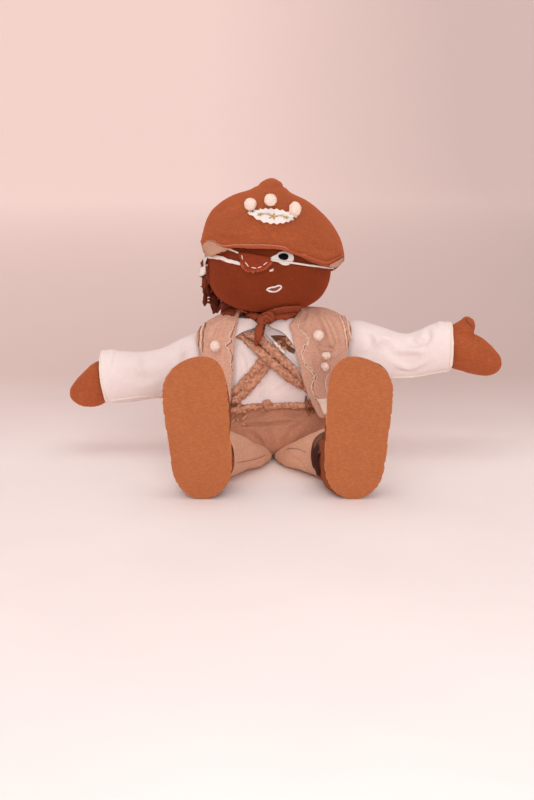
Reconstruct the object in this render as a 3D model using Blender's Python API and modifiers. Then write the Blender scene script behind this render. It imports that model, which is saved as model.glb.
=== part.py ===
"""A seated cotton rag doll in a folk costume: hat, vest, straps, trousers and shoes.

The doll faces -Y with its legs forward and its arms out sideways. The origin is the
middle of its seat on the floor. Lengths are in metres. The figure's own form is given
in points, of which its seated height has 240; cloth, cords, beads and clearances have
sizes of their own.
"""
import math

import bmesh
import bpy
from mathutils import Vector

# Driving sizes
SEATED_HEIGHT = 0.240
POINT = SEATED_HEIGHT / 240.0
FULL_TURN = 360
GAP = 0.0003
CLOTH = 0.0016
HAT_CLOTH = 0.0018
COLLAR_CLOTH = 0.0010
SOLE_THICKNESS = 0.0040
STRAP_DIAMETER = 0.0068
BELT_DIAMETER = 0.0052
STRING_DIAMETER = 0.0020
STITCH_DIAMETER = 0.0013
TRIM_DIAMETER = 0.0016
BEAD_DIAMETER = 0.0108
VEST_BEAD_DIAMETER = 0.0098
PAIR_BEAD_DIAMETER = 0.0070
CUFF_WALL = 0.0016
CUFF_DEPTH = 0.012
PATCH_CLOTH = 0.0010
EYE_PATCH_CLOTH = 0.0016
TAB_CLOTH = 0.0012

# Heights in the figure, in points
WAIST = 49.0
NECK_BASE = 120.0
VEST_HEM = 37.0
VEST_TOP = 118.0

# The trunk's stations: height, half width, half depth and how far back its middle is
TRUNK_STATIONS = (
    (0.0, 46, 24, 2.0),
    (4.5, 55, 37, -1.5),
    (16.0, 60, 41, -2.0),
    (33.0, 60, 40, 0.5),
    (49.0, 58, 36.5, 4.0),
    (75.0, 57, 34, 7.0),
    (93.0, 57, 30, 9.5),
    (105.0, 54, 25, 11.5),
    (113.0, 46, 21, 13.0),
    (117.5, 33, 17, 14.0),
    (120.0, 17, 14, 14.5),
)
TRUNK_MIDDLE_X = 2.0
TRUNK_SQUARENESS = 2.4

# The right shoulder is drawn up: how far, between which heights and from which x out
SHOULDER_RISE = 7.0
SHOULDER_FROM = 70.0
SHOULDER_TO = 105.0
SHOULDER_START_X = 16.0
SHOULDER_END_X = 57.0

# The head: its middle, its half sizes and how far it leans back
HEAD_MIDDLE = Vector((-2.6, 16.0, 165.4))
HEAD_HALF = Vector((55.3, 42.0, 41.2))
HEAD_FULLNESS = 2.55
HEAD_LEAN = 0.12

COLOURS = {
    "terracotta": (0.43, 0.14, 0.055),
    "face": (0.36, 0.11, 0.045),
    "shirt": (0.86, 0.80, 0.78),
    "vest": (0.70, 0.44, 0.34),
    "shorts": (0.36, 0.15, 0.09),
    "trousers": (0.68, 0.42, 0.31),
    "cord": (0.46, 0.23, 0.14),
    "white": (0.88, 0.82, 0.78),
    "bead": (0.90, 0.80, 0.72),
    "hair": (0.20, 0.06, 0.03),
    "black": (0.02, 0.015, 0.015),
    "scarf": (0.33, 0.07, 0.03),
    "tab": (0.86, 0.66, 0.55),
}


def clear_scene():
    """Remove what a new file starts with."""
    for thing in list(bpy.data.objects):
        bpy.data.objects.remove(thing, do_unlink=True)


def make_collection(name):
    group = bpy.data.collections.new(name)
    bpy.context.scene.collection.children.link(group)
    return group


clear_scene()
DOLL = make_collection("cotton_doll")
CUTTERS = make_collection("cutters")


def finish(thing, name, colour):
    """Name the object, give it a cloth of its own and shade it smooth."""
    thing.name = name
    thing.data.name = name
    material = bpy.data.materials.new(name + "_cloth")
    material.use_nodes = True
    shader = material.node_tree.nodes["Principled BSDF"]
    shader.inputs["Base Color"].default_value = (*COLOURS[colour], 1.0)
    shader.inputs["Roughness"].default_value = 0.85
    shader.inputs["Metallic"].default_value = 0.0
    thing.data.materials.clear()
    thing.data.materials.append(material)
    for group in list(thing.users_collection):
        group.objects.unlink(thing)
    DOLL.objects.link(thing)
    thing.data.shade_smooth()
    thing.data.set_sharp_from_angle(angle=math.radians(50))
    return thing


def spot(x, y, z):
    """A place given in points of the figure."""
    return Vector((x, y, z)) * POINT


def mesh_object(name, corners, faces):
    mesh = bpy.data.meshes.new(name)
    mesh.from_pydata([tuple(corner) for corner in corners], [], faces)
    work = bmesh.new()
    work.from_mesh(mesh)
    bmesh.ops.recalc_face_normals(work, faces=work.faces)
    work.to_mesh(mesh)
    work.free()
    thing = bpy.data.objects.new(name, mesh)
    bpy.context.scene.collection.objects.link(thing)
    return thing


def loft(name, rings):
    """One closed solid through rings of as many corners each, with fans at the ends."""
    count = len(rings[0])
    corners = [corner for ring in rings for corner in ring]
    faces = []
    for row in range(len(rings) - 1):
        for step in range(count):
            after = (step + 1) % count
            low = row * count
            faces.append((low + step, low + after, low + count + after, low + count + step))
    for row in (0, len(rings) - 1):
        middle = sum(rings[row], Vector()) / count
        corners.append(middle)
        hub = len(corners) - 1
        for step in range(count):
            faces.append((hub, row * count + step, row * count + (step + 1) % count))
    return mesh_object(name, corners, faces)


def sheet(name, rows, thickness, missing=None):
    """A cloth: an open surface through rows of points, made thick outwards by Solidify."""
    width = len(rows[0])
    corners = [corner for row in rows for corner in row]
    faces = []
    for row in range(len(rows) - 1):
        for step in range(width - 1):
            if missing and missing(row, step):
                continue
            low = row * width + step
            faces.append((low, low + 1, low + width + 1, low + width))
    mesh = bpy.data.meshes.new(name)
    mesh.from_pydata([tuple(corner) for corner in corners], [], faces)
    work = bmesh.new()
    work.from_mesh(mesh)
    bmesh.ops.remove_doubles(work, verts=work.verts, dist=0.00005)
    loose = [corner for corner in work.verts if not corner.link_faces]
    bmesh.ops.delete(work, geom=loose, context="VERTS")
    work.to_mesh(mesh)
    work.free()
    thing = bpy.data.objects.new(name, mesh)
    bpy.context.scene.collection.objects.link(thing)
    thicken = thing.modifiers.new("Cloth", "SOLIDIFY")
    thicken.thickness = thickness
    thicken.offset = 1.0
    thicken.use_even_offset = False
    return thing


def as_mesh(thing):
    """The object as a plain welded mesh, with its modifiers or its curve worked out."""
    graph = bpy.context.evaluated_depsgraph_get()
    mesh = bpy.data.meshes.new_from_object(thing.evaluated_get(graph))
    work = bmesh.new()
    work.from_mesh(mesh)
    bmesh.ops.remove_doubles(work, verts=work.verts, dist=0.00001)
    work.to_mesh(mesh)
    work.free()
    solid = bpy.data.objects.new(thing.name + "_mesh", mesh)
    solid.matrix_world = thing.matrix_world
    bpy.context.scene.collection.objects.link(solid)
    bpy.data.objects.remove(thing, do_unlink=True)
    return solid


def smooth_path(knots, steps):
    """A smooth curve through knots, each a place and a width, read at even steps."""
    fine = []
    last = len(knots) - 1
    for step in range(steps + 1):
        where = step / steps * last
        index = min(int(where), last - 1)
        part = where - index
        four = [knots[max(0, min(last, index + shift))] for shift in (-1, 0, 1, 2)]
        fine.append(tuple(
            0.5 * (2 * b + (c - a) * part + (2 * a - 5 * b + 4 * c - d) * part ** 2
                   + (3 * b - a - 3 * c + d) * part ** 3)
            for a, b, c, d in zip(*four)))
    return fine


def cord(name, places, diameter, widths=None, round_steps=2, closed=False):
    """A round cord through places, by a bevelled curve; widths are shares of its diameter."""
    curve = bpy.data.curves.new(name, "CURVE")
    curve.dimensions = "3D"
    curve.bevel_depth = diameter / 2
    curve.bevel_resolution = round_steps
    curve.use_fill_caps = True
    spline = curve.splines.new("POLY")
    spline.points.add(len(places) - 1)
    for index, place in enumerate(places):
        spline.points[index].co = (*place, 1.0)
        spline.points[index].radius = widths[index] if widths else 1.0
    spline.use_cyclic_u = closed
    thing = bpy.data.objects.new(name, curve)
    bpy.context.scene.collection.objects.link(thing)
    return as_mesh(thing)


def ball(name, middle, half, turns=12, levels=8):
    """An egg-shaped solid of three half sizes."""
    bpy.ops.mesh.primitive_uv_sphere_add(segments=turns, ring_count=levels, radius=1.0)
    thing = bpy.context.active_object
    thing.name = name
    for corner in thing.data.vertices:
        corner.co = Vector([corner.co[axis] * half[axis] + middle[axis] for axis in range(3)])
    return thing


def join(base, *others):
    """Fuse solids into the first one by Boolean unions."""
    for other in others:
        union = base.modifiers.new("Join", "BOOLEAN")
        union.operation = "UNION"
        union.object = other
        for group in list(other.users_collection):
            group.objects.unlink(other)
        CUTTERS.objects.link(other)
        other.hide_render = True
        other.display_type = "WIRE"
    fused = as_mesh(base)
    for other in others:
        bpy.data.objects.remove(other, do_unlink=True)
    return fused


def rounded(value, power):
    """The value's size raised to a power, with its sign kept."""
    return math.copysign(abs(value) ** power, value)


def stations_at(table, height):
    """A table's row at a height, on smooth curves through its rows."""
    heights = [row[0] for row in table]
    last = len(table) - 1
    index = 0
    while index < last - 1 and height > heights[index + 1]:
        index += 1
    part = (height - heights[index]) / (heights[index + 1] - heights[index])
    part = min(1.0, max(0.0, part))
    result = []
    for column in range(1, len(table[0])):
        before = table[max(0, index - 1)]
        low = table[index]
        high = table[index + 1]
        after = table[min(last, index + 2)]
        span = high[0] - low[0]
        slope_low = (high[column] - before[column]) / (high[0] - before[0]) * span
        slope_high = (after[column] - low[column]) / (after[0] - low[0]) * span
        result.append(
            (2 * part ** 3 - 3 * part ** 2 + 1) * low[column]
            + (part ** 3 - 2 * part ** 2 + part) * slope_low
            + (3 * part ** 2 - 2 * part ** 3) * high[column]
            + (part ** 3 - part ** 2) * slope_high)
    return result


def trunk_skin(turn, height):
    """The trunk's surface, in points: turn is 0 in front, 90 at +X and 180 behind."""
    half_width, half_depth, back = stations_at(TRUNK_STATIONS, height)
    angle = math.radians(turn)
    power = 2 / TRUNK_SQUARENESS
    x = TRUNK_MIDDLE_X + half_width * rounded(math.sin(angle), power)
    y = back - half_depth * rounded(math.cos(angle), power)
    raised = min(1.0, max(0.0, (height - SHOULDER_FROM) / (SHOULDER_TO - SHOULDER_FROM)))
    aside = max(0.0, x - SHOULDER_START_X) / (SHOULDER_END_X - SHOULDER_START_X)
    rise = SHOULDER_RISE * raised ** 2 * (3 - 2 * raised) * aside ** 1.2
    return Vector((x, y, height + rise))


def on_trunk(turn, height, lift=0.0):
    """A place on the trunk, in metres, lifted off its surface."""
    step = 0.5
    across = trunk_skin(turn + step, height) - trunk_skin(turn - step, height)
    low = max(0.0, height - step)
    high = min(NECK_BASE, height + step)
    along = trunk_skin(turn, high) - trunk_skin(turn, low)
    out = across.cross(along).normalized()
    return trunk_skin(turn, height) * POINT + out * lift


def trunk_turn(x, height):
    """The turn at which the front of the trunk has this x."""
    half_width = stations_at(TRUNK_STATIONS, height)[0]
    share = max(-0.98, min(0.98, (x - TRUNK_MIDDLE_X) / half_width))
    return math.degrees(math.asin(rounded(share, TRUNK_SQUARENESS / 2)))


def front(x, height, lift=0.0):
    """A place on the trunk's front at this x and height, lifted off it."""
    return on_trunk(trunk_turn(x, height), height, lift)


def head_section(height):
    """Half width, half depth and middle y of the head at a height, in points."""
    rise = max(-1.0, min(1.0, (height - HEAD_MIDDLE.z) / HEAD_HALF.z))
    size = (1 - abs(rise) ** HEAD_FULLNESS) ** (1 / HEAD_FULLNESS)
    middle = HEAD_MIDDLE.y + HEAD_LEAN * (height - HEAD_MIDDLE.z)
    return HEAD_HALF.x * size, HEAD_HALF.y * size, middle


def head_skin(turn, height):
    half_width, half_depth, middle = head_section(height)
    angle = math.radians(turn)
    return Vector((
        HEAD_MIDDLE.x + half_width * math.sin(angle),
        middle - half_depth * math.cos(angle),
        height))


def on_head(turn, height, lift=0.0):
    """A place on the head, in metres, lifted off its surface."""
    step = 0.5
    across = head_skin(turn + step, height) - head_skin(turn - step, height)
    along = head_skin(turn, height + step) - head_skin(turn, height - step)
    out = across.cross(along).normalized()
    return head_skin(turn, height) * POINT + out * lift


def face(x, height, lift=0.0):
    """A place on the face at this x and height."""
    half_width = head_section(height)[0]
    share = max(-0.995, min(0.995, (x - HEAD_MIDDLE.x) / half_width))
    return on_head(math.degrees(math.asin(share)), height, lift)


def oval_ring(middle, half_a, half_b, axis_a, axis_b, count, squareness=2.0):
    """A ring of corners round a middle, in points, given back in metres."""
    ring = []
    power = 2 / squareness
    for step in range(count):
        angle = 2 * math.pi * step / count
        offset = (axis_a * half_a * rounded(math.cos(angle), power)
                  + axis_b * half_b * rounded(math.sin(angle), power))
        ring.append((middle + offset) * POINT)
    return ring


TRUNK_SIDES = 24


def trunk_rings(heights, lift=0.0):
    return [[on_trunk(FULL_TURN * step / TRUNK_SIDES, height, lift) for step in range(TRUNK_SIDES)]
            for height in heights]


def make_shorts():
    """The stuffed seat in its shorts, flat below, up to the waist."""
    top = WAIST - GAP / POINT
    heights = (0.0, 2.0, 6.0, 14.0, 26.0, 38.0, top)
    finish(loft("shorts", trunk_rings(heights)), "shorts", "shorts")


# A sleeve's stations: distance out, height, half height, half depth and middle y
SLEEVE_RIGHT = (
    (38, 91, 16, 13, 10),
    (56, 92, 19.5, 15, 9),
    (66, 92.5, 22.5, 17, 9),
    (80, 91, 24.5, 20, 8),
    (97, 87, 24, 21, 7),
    (112, 85, 20.5, 20, 6),
    (126, 85, 20, 20, 5),
    (144, 90.5, 21.5, 21, 4),
    (160, 93.5, 22.5, 21, 4),
)
SLEEVE_LEFT = (
    (38, 88, 15, 13, 10),
    (56, 87, 18, 15, 9),
    (66, 84, 21, 17, 9),
    (82, 75, 24, 20, 8),
    (100, 68, 22, 21, 7),
    (118, 66, 22, 21, 6),
    (136, 66, 23, 21, 5),
    (152, 66, 24, 21, 4),
)
SLEEVE_SIDES = 14
OUT_Y = Vector((0, 1, 0))
OUT_Z = Vector((0, 0, 1))


def limb_ring(station, side, count, less=0.0):
    """A limb's section at a station, across an arm that points out sideways."""
    out, height, half_height, half_depth, middle = station
    less = less / POINT
    return oval_ring(Vector((side * out, middle, height)), half_depth - less,
                     half_height - less, OUT_Y, OUT_Z, count)


def make_sleeve(stations, side):
    """A sleeve whose cuff is open, as deep as CUFF_DEPTH."""
    rings = [limb_ring(station, side, SLEEVE_SIDES) for station in stations]
    cuff = stations[-1]
    rings.append(limb_ring(cuff, side, SLEEVE_SIDES, CUFF_WALL))
    inner = (cuff[0] - CUFF_DEPTH / POINT,) + cuff[1:]
    rings.append(limb_ring(inner, side, SLEEVE_SIDES, CUFF_WALL * 1.6))
    return loft("sleeve", rings)


def make_shirt():
    """The shirt with the stuffed body in it, and its two sleeves."""
    heights = (WAIST, 56, 66, 78, 90, 99, 106, 111.5, 115.5, 118.3, NECK_BASE)
    body = loft("shirt_body", trunk_rings(heights))
    right = make_sleeve(SLEEVE_RIGHT, 1)
    left = make_sleeve(SLEEVE_LEFT, -1)
    finish(join(body, right, left), "shirt", "shirt")


# A hand's stations, from the wrist in its cuff to the fingertips
HAND_RIGHT = (
    (0, 93.5, 15, 12, 4),
    (8, 93.5, 17, 13, 4),
    (15, 92.5, 19, 14, 4),
    (27, 89, 19, 14.5, 4),
    (39, 84.5, 17.5, 13, 3),
    (48, 81, 13.5, 10.5, 2),
    (54.5, 79, 8, 6, 2),
    (57, 79, 3, 2.5, 2),
)
HAND_LEFT = (
    (0, 66, 15, 12, 4),
    (8, 64, 17, 13, 4),
    (17, 60, 20, 14.5, 3),
    (25, 56.5, 18, 14, 2),
    (33, 53, 13, 11, 1),
    (38.5, 51.5, 7.5, 7, 1),
    (41, 51, 3, 3, 1),
)
HAND_SIDES = 14


def make_hand(name, stations, side, cuff):
    """A stuffed hand, its wrist in the cuff a gap away from the sleeve's inner end."""
    start = cuff[0] - CUFF_DEPTH / POINT + GAP / POINT
    rings = [limb_ring((start + station[0],) + station[1:], side, HAND_SIDES)
             for station in stations]
    return loft(name, rings)


def make_hands():
    right = make_hand("hand_right", HAND_RIGHT, 1, SLEEVE_RIGHT[-1])
    thumb_base = spot(168, 4, 98)
    thumb_tip = spot(180, 3, 117.5)
    thumb_path = [thumb_base.lerp(thumb_tip, share) for share in (0, 0.4, 0.7, 0.9, 1.0)]
    thumb = cord("thumb", thumb_path, 14 * POINT, (1.5, 1.15, 0.9, 0.8, 0.4), 2)
    finish(join(right, thumb), "hand_right", "terracotta")
    left = make_hand("hand_left", HAND_LEFT, -1, SLEEVE_LEFT[-1])
    finish(left, "hand_left", "terracotta")


# The vest's inner edges: height and x of the right one and of the left one
VEST_EDGES = (
    (37, 38, -35),
    (55, 31, -34),
    (77, 25, -33),
    (98, 20, -31.5),
    (110, 17, -29.5),
    (113, 17.5, -28.5),
    (118, 27, -27.5),
)
ARMHOLE_MIDDLE = 90.0
ARMHOLE_HALF_TURN = 27.0
ARMHOLE_LOW = 60.0
ARMHOLE_HIGH = 109.0
VEST_EASE = 0.0018
VEST_FLARE = 0.0085
PINCH = 0.55
VEST_FRONT_COLUMNS = 5
ARMHOLE_COLUMNS = 6
BACK_COLUMNS = 8
VEST_ROWS = (37, 48, 60, 72, 84.5, 97, 109, 113.5, 118)


def vest_lift(turn, height):
    """How far the vest stands off the shirt: over pinched straps, collar and belt."""
    facing = min(1.0, max(0.0, (math.cos(math.radians(turn)) + 0.17) / 0.45))
    strap = STRAP_DIAMETER * PINCH + GAP
    collar = (COLLAR_CLOTH + GAP) * min(1.0, max(0.0, (height - 84) / 8))
    belt = (BELT_DIAMETER + GAP) * min(1.0, max(0.0, (68 - height) / 10))
    aside = min(abs(turn), abs(FULL_TURN - turn))
    flare = VEST_FLARE * math.exp(-((aside - 66) / 17) ** 2)
    flare *= min(1.0, max(0.0, (116 - height) / 10))
    return VEST_EASE + GAP + max(strap * facing, belt) + collar * facing + flare


def vest_columns(height):
    """The turns of the vest's columns at a height, from its right edge round the back."""
    _, right_x, left_x = (0, *stations_at(VEST_EDGES, height))
    right = trunk_turn(right_x, height)
    left = FULL_TURN + trunk_turn(left_x, height)
    low = ARMHOLE_MIDDLE - ARMHOLE_HALF_TURN
    high = ARMHOLE_MIDDLE + ARMHOLE_HALF_TURN
    marks = (right, low, high, FULL_TURN - high, FULL_TURN - low, left)
    counts = (VEST_FRONT_COLUMNS, ARMHOLE_COLUMNS, BACK_COLUMNS, ARMHOLE_COLUMNS,
              VEST_FRONT_COLUMNS)
    turns = [marks[0]]
    for index, count in enumerate(counts):
        for step in range(1, count + 1):
            turns.append(marks[index] + (marks[index + 1] - marks[index]) * step / count)
    return turns


def round_armhole(turn, height):
    """Draw the corners of an armhole in, so that it is an oval."""
    middle = ARMHOLE_MIDDLE if turn < 180 else FULL_TURN - ARMHOLE_MIDDLE
    half_height = (ARMHOLE_HIGH - ARMHOLE_LOW) / 2
    middle_height = (ARMHOLE_HIGH + ARMHOLE_LOW) / 2
    p = (turn - middle) / ARMHOLE_HALF_TURN
    q = (height - middle_height) / half_height
    if abs(p) > 1.001 or abs(q) > 1.001:
        return turn, height
    round_p = p * math.sqrt(max(0.0, 1 - q * q / 2))
    round_q = q * math.sqrt(max(0.0, 1 - p * p / 2))
    return middle + round_p * ARMHOLE_HALF_TURN, middle_height + round_q * half_height


def in_armhole(row, step):
    """Whether a face of the vest's net lies in one of its armholes."""
    first = VEST_FRONT_COLUMNS
    second = VEST_FRONT_COLUMNS + ARMHOLE_COLUMNS + BACK_COLUMNS
    beside = first <= step < first + ARMHOLE_COLUMNS or second <= step < second + ARMHOLE_COLUMNS
    return beside and ARMHOLE_LOW <= VEST_ROWS[row] < ARMHOLE_HIGH


def on_vest(x, height, lift=0.0):
    """A place on the vest's front, lifted off its cloth."""
    turn = trunk_turn(x, height)
    return on_trunk(turn, height, vest_lift(turn, height) + CLOTH + lift)


def make_vest():
    """The open vest with its armholes, from one net that wraps the shirt."""
    rows = []
    for height in VEST_ROWS:
        row = []
        for turn in vest_columns(height):
            round_turn, round_height = round_armhole(turn, height)
            row.append(on_trunk(round_turn, round_height, vest_lift(round_turn, round_height)))
        rows.append(row)
    finish(as_mesh(sheet("vest", rows, CLOTH, in_armhole)), "vest", "vest")


def make_vest_trims():
    """The wavy trim inside each front edge of the vest."""
    inset = 5.5
    waves = 3.5
    steps = 24
    foot = 18
    for name, column, inwards, wave in (("vest_trim_right", 0, 1, 2.6),
                                        ("vest_trim_left", 1, -1, 1.2)):
        places = []
        for step in range(steps + 1):
            share = step / steps
            height = VEST_HEM + foot + (VEST_TOP - 6 - VEST_HEM - foot) * share
            edge = stations_at(VEST_EDGES, height)[column]
            x = edge + inwards * (inset + wave * math.sin(2 * math.pi * waves * share))
            places.append(on_vest(x, height, GAP * 3 + TRIM_DIAMETER / 2))
        finish(cord(name, places, TRIM_DIAMETER, None, 0), name, "white")


def make_beads():
    """White beads on the vest: one at the left, one at the right and a pair below it."""
    for name, x, height, diameter in (("vest_bead_left", -42.0, 94.0, VEST_BEAD_DIAMETER),
                                      ("vest_bead_right", 37.5, 99.5, VEST_BEAD_DIAMETER),
                                      ("vest_bead_pair_upper", 42.3, 86.8, PAIR_BEAD_DIAMETER),
                                      ("vest_bead_pair_lower", 41.2, 79.2, PAIR_BEAD_DIAMETER)):
        radius = diameter / 2
        middle = on_vest(x, height, radius + GAP)
        finish(ball(name, middle, (radius, radius, radius), 8, 6), name, "bead")


def make_tab():
    """The bare cream tab sewn at the hem of the vest's right front."""
    rows = []
    for height, left, right in ((38, 41, 46), (43, 39.5, 48), (48, 38.0, 48), (52, 36.5, 48)):
        rows.append([on_vest(left + (right - left) * share, height, GAP * 2)
                     for share in (0, 0.33, 0.67, 1.0)])
    finish(as_mesh(sheet("vest_tab", rows, TAB_CLOTH)), "vest_tab", "tab")


def strap_path(knots, diameter, beside, over=0.0, steps=13):
    """A cord's places over the shirt's front, beside the middle line of its strap."""
    places = []
    widths = []
    for x, height, width, raised in smooth_path(knots, steps):
        radius = diameter / 2 * width
        aside = beside * width / POINT
        places.append(front(x, height + aside, radius + GAP + over * raised))
        widths.append(width)
    return places, widths


# The straps' knots: x, height, width as a share and how far they are raised
STRAP_OVER = (
    (-35, 111, PINCH, 0.0),
    (-29, 108, PINCH, 0.0),
    (-23, 104, 0.55, 0.0),
    (-13, 98, 0.95, 0.8),
    (-3, 90.5, 1.0, 1.0),
    (8, 81.5, 1.0, 1.0),
    (17, 74, 0.95, 0.5),
    (24, 68, 0.65, 0.0),
    (29, 64, PINCH, 0.0),
    (33, 61, PINCH, 0.0),
)
STRAP_UNDER = (
    (-39, 52.5, PINCH, 0.0),
    (-33, 55, 0.75, 0.0),
    (-26, 60.5, 1.0, 0.0),
    (-15, 73.5, 1.0, 0.0),
    (-2, 88.5, 1.0, 0.0),
    (7, 96, 0.8, 0.0),
    (13, 101, PINCH, 0.0),
    (18, 105, PINCH, 0.0),
)


def make_straps():
    """Two straps of two cords each, crossed on the chest, the one over the other."""
    apart = STRAP_DIAMETER / 2 * 1.32
    for name, knots, over in (("strap_over", STRAP_OVER, STRAP_DIAMETER + GAP),
                              ("strap_under", STRAP_UNDER, 0.0)):
        for part, side in (("upper", 1), ("lower", -1)):
            places, widths = strap_path(knots, STRAP_DIAMETER, side * apart, over)
            title = name + "_" + part
            finish(cord(title, places, STRAP_DIAMETER, widths, 1), title, "cord")


# The belt hangs lower at the left of its front: how far, and over which turns
BELT_SAG = 6.5
BELT_SAG_TURN = 318.0
BELT_SAG_WIDTH = 22.0


def make_belt():
    """The belt cord round the waist, with its knot in front and a hanging loop."""
    steps = 26
    rise = BELT_DIAMETER / 2 + GAP * 4
    places = []
    for step in range(steps):
        turn = FULL_TURN * step / steps
        sag = BELT_SAG * math.exp(-((turn - BELT_SAG_TURN) / BELT_SAG_WIDTH) ** 2)
        places.append(on_trunk(turn, WAIST - 1.5 - sag, rise))
    ring = cord("belt_ring", places, BELT_DIAMETER, None, 1, True)
    knot_middle = front(-4, WAIST - 1.0, rise + 0.0008)
    size = BELT_DIAMETER * 0.85
    knot = ball("belt_knot", knot_middle, (size * 1.2, size * 0.62, size), 8, 6)
    finish(join(ring, knot), "belt", "cord")


def make_head():
    """The stuffed head on its short neck, down to the shirt's neck."""
    sides = 20
    neck_half = 13.0
    rings = []
    neck_low = NECK_BASE + GAP / POINT
    for height in (neck_low, 125.0):
        middle = Vector((HEAD_MIDDLE.x + 3.0, 13.5, height))
        rings.append(oval_ring(middle, neck_half * 0.75, neck_half, Vector((0, -1, 0)),
                               Vector((1, 0, 0)), sides))
    for rise in (-72, -56, -42, -28, -14, 0, 14, 28, 42, 56, 70, 82):
        height = HEAD_MIDDLE.z + HEAD_HALF.z * math.sin(math.radians(rise))
        rings.append([on_head(FULL_TURN * step / sides, height) for step in range(sides)])
    finish(loft("head", rings), "head", "face")


# The hat: half width of its brim, rise of its panels and their half depths
HAT_MIDDLE = Vector((0.4, 8.0, 178.5))
HAT_HALF_WIDTH = 62.2
HAT_RISE = 52.0
HAT_DEPTH_FRONT = 38.0
HAT_DEPTH_BACK = 54.5
HAT_DROP_BACK = 16.0
HAT_ROLL = math.radians(7.3)
HAT_PEAK = 10.5
HAT_PEAK_AT = -0.13
HAT_PEAK_WIDTH = 0.18
HAT_SHARES = (-0.9997, -0.94, -0.83, -0.67, -0.5, -0.35, -0.24, -0.16, -0.09, 0.0, 0.13,
              0.3, 0.48, 0.66, 0.82, 0.94, 0.9997)
HAT_LEVELS = (0.0, 0.16, 0.4, 0.66, 0.87, 1.0)

# How the brim's front edge hangs: by how far, at which share of the width and how wide
HAT_FRONT_LIFT = 9.0
HAT_DIPS = ((5.5, 0.65, 0.3), (4.0, 0.93, 0.12), (10.0, -0.88, 0.2))


def hat_seam(share):
    """The height of the sewn arc over the brim's chord, with the small peak on it."""
    fullness = 2.35 if share < 0 else 1.75
    arc = HAT_RISE * (1 - min(1.0, abs(share)) ** fullness) ** (1 / fullness)
    return arc + HAT_PEAK * math.exp(-abs((share - HAT_PEAK_AT) / HAT_PEAK_WIDTH) ** 2.6)


def hat_hem(share, facing):
    """The height of the brim's edge: lifted in front with a dip, lower behind."""
    closing = 1 - abs(share) ** 12
    if facing > 0:
        lifted = HAT_FRONT_LIFT * max(0.0, math.cos(math.pi * share / 2)) ** 1.5
        for depth, middle, width in HAT_DIPS:
            lifted -= depth * math.exp(-((share - middle) / width) ** 2)
        return lifted * closing
    return -HAT_DROP_BACK * (1 - abs(share) ** 20)


def hat_place(share, level, facing):
    """A place on the hat, in points: facing is 1 in front and -1 behind."""
    hem = hat_hem(share, facing)
    seam = hat_seam(share)
    height = hem + (seam - hem) * level
    closing = max(0.0, 1 - share * share) ** (0.6 if facing > 0 else 0.48)
    depth = HAT_DEPTH_FRONT if facing > 0 else HAT_DEPTH_BACK
    belly = (1 - level ** 2.2) ** 0.62
    y = -facing * depth * closing * belly
    x = HAT_HALF_WIDTH * share
    turned_x = x * math.cos(HAT_ROLL) + height * math.sin(HAT_ROLL)
    turned_z = height * math.cos(HAT_ROLL) - x * math.sin(HAT_ROLL)
    return HAT_MIDDLE + Vector((turned_x, y, turned_z))


def make_hat():
    """The half-moon hat: two panels sewn along their arc, open below."""
    rows = []
    for facing, levels in ((1, HAT_LEVELS), (-1, HAT_LEVELS[-2::-1])):
        for level in levels:
            rows.append([hat_place(share, level, facing) * POINT for share in HAT_SHARES])
    finish(as_mesh(sheet("hat", rows, HAT_CLOTH)), "hat", "terracotta")


def on_hat(x, rise, lift=0.0):
    """A place on the hat's front at this x and rise over its chord, lifted off it."""
    share = x / HAT_HALF_WIDTH
    hem = hat_hem(share, 1)
    level = (rise - hem) / (hat_seam(share) - hem)
    step = 0.01
    across = hat_place(share + step, level, 1) - hat_place(share - step, level, 1)
    along = hat_place(share, level + step, 1) - hat_place(share, level - step, 1)
    out = across.cross(along).normalized()
    return hat_place(share, level, 1) * POINT + out * (HAT_CLOTH + lift)


def make_hat_beads():
    radius = BEAD_DIAMETER / 2
    for name, x, rise, tall in (("hat_bead_left", -21, 38, 1.0),
                                ("hat_bead_middle", -7.5, 44, 1.0),
                                ("hat_bead_right", 12, 38, 1.15)):
        middle = on_hat(x, rise, radius + GAP)
        finish(ball(name, middle, (radius, radius, radius * tall), 8, 6), name, "bead")


def make_hat_patch():
    """The pale lens-shaped patch with a pinked edge on the hat's front."""
    columns = 12
    half_length = 19.5
    half_height = 5.6
    middle_x = -5.0
    middle_rise = 32.5
    rows = []
    for across in (-1.0, 0.0, 1.0):
        row = []
        for step in range(columns + 1):
            part = 2 * step / columns - 1
            half = half_height * max(0.05, 1 - part * part) ** 0.75
            row.append(on_hat(middle_x + half_length * part, middle_rise + half * across, GAP * 3))
        rows.append(row)
    finish(as_mesh(sheet("hat_patch", rows, PATCH_CLOTH)), "hat_patch", "white")


# The face's places: x and height in points
EYE_PATCH_TOP = 178.5
EYE_PATCH_LEFT = -27.0
EYE_PATCH_RIGHT = -1.5
EYE_PATCH_DROP = 12.5
EYE_PLACE = (10.0, 178.5)
EYE_HALF = (4.3, 3.0)
EYE_RING_HALF = (10.0, 5.6)
NOSE_PLACE = (-0.5, 168.0)
MOUTH_PLACE = (2.8, 151.0)
MOUTH_HALF = (6.3, 2.6)
MOUTH_SLANT = 0.22
RING_THICKNESS = 0.0012
EYE_PATCH_LIFT = RING_THICKNESS + STRING_DIAMETER + GAP * 7


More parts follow.
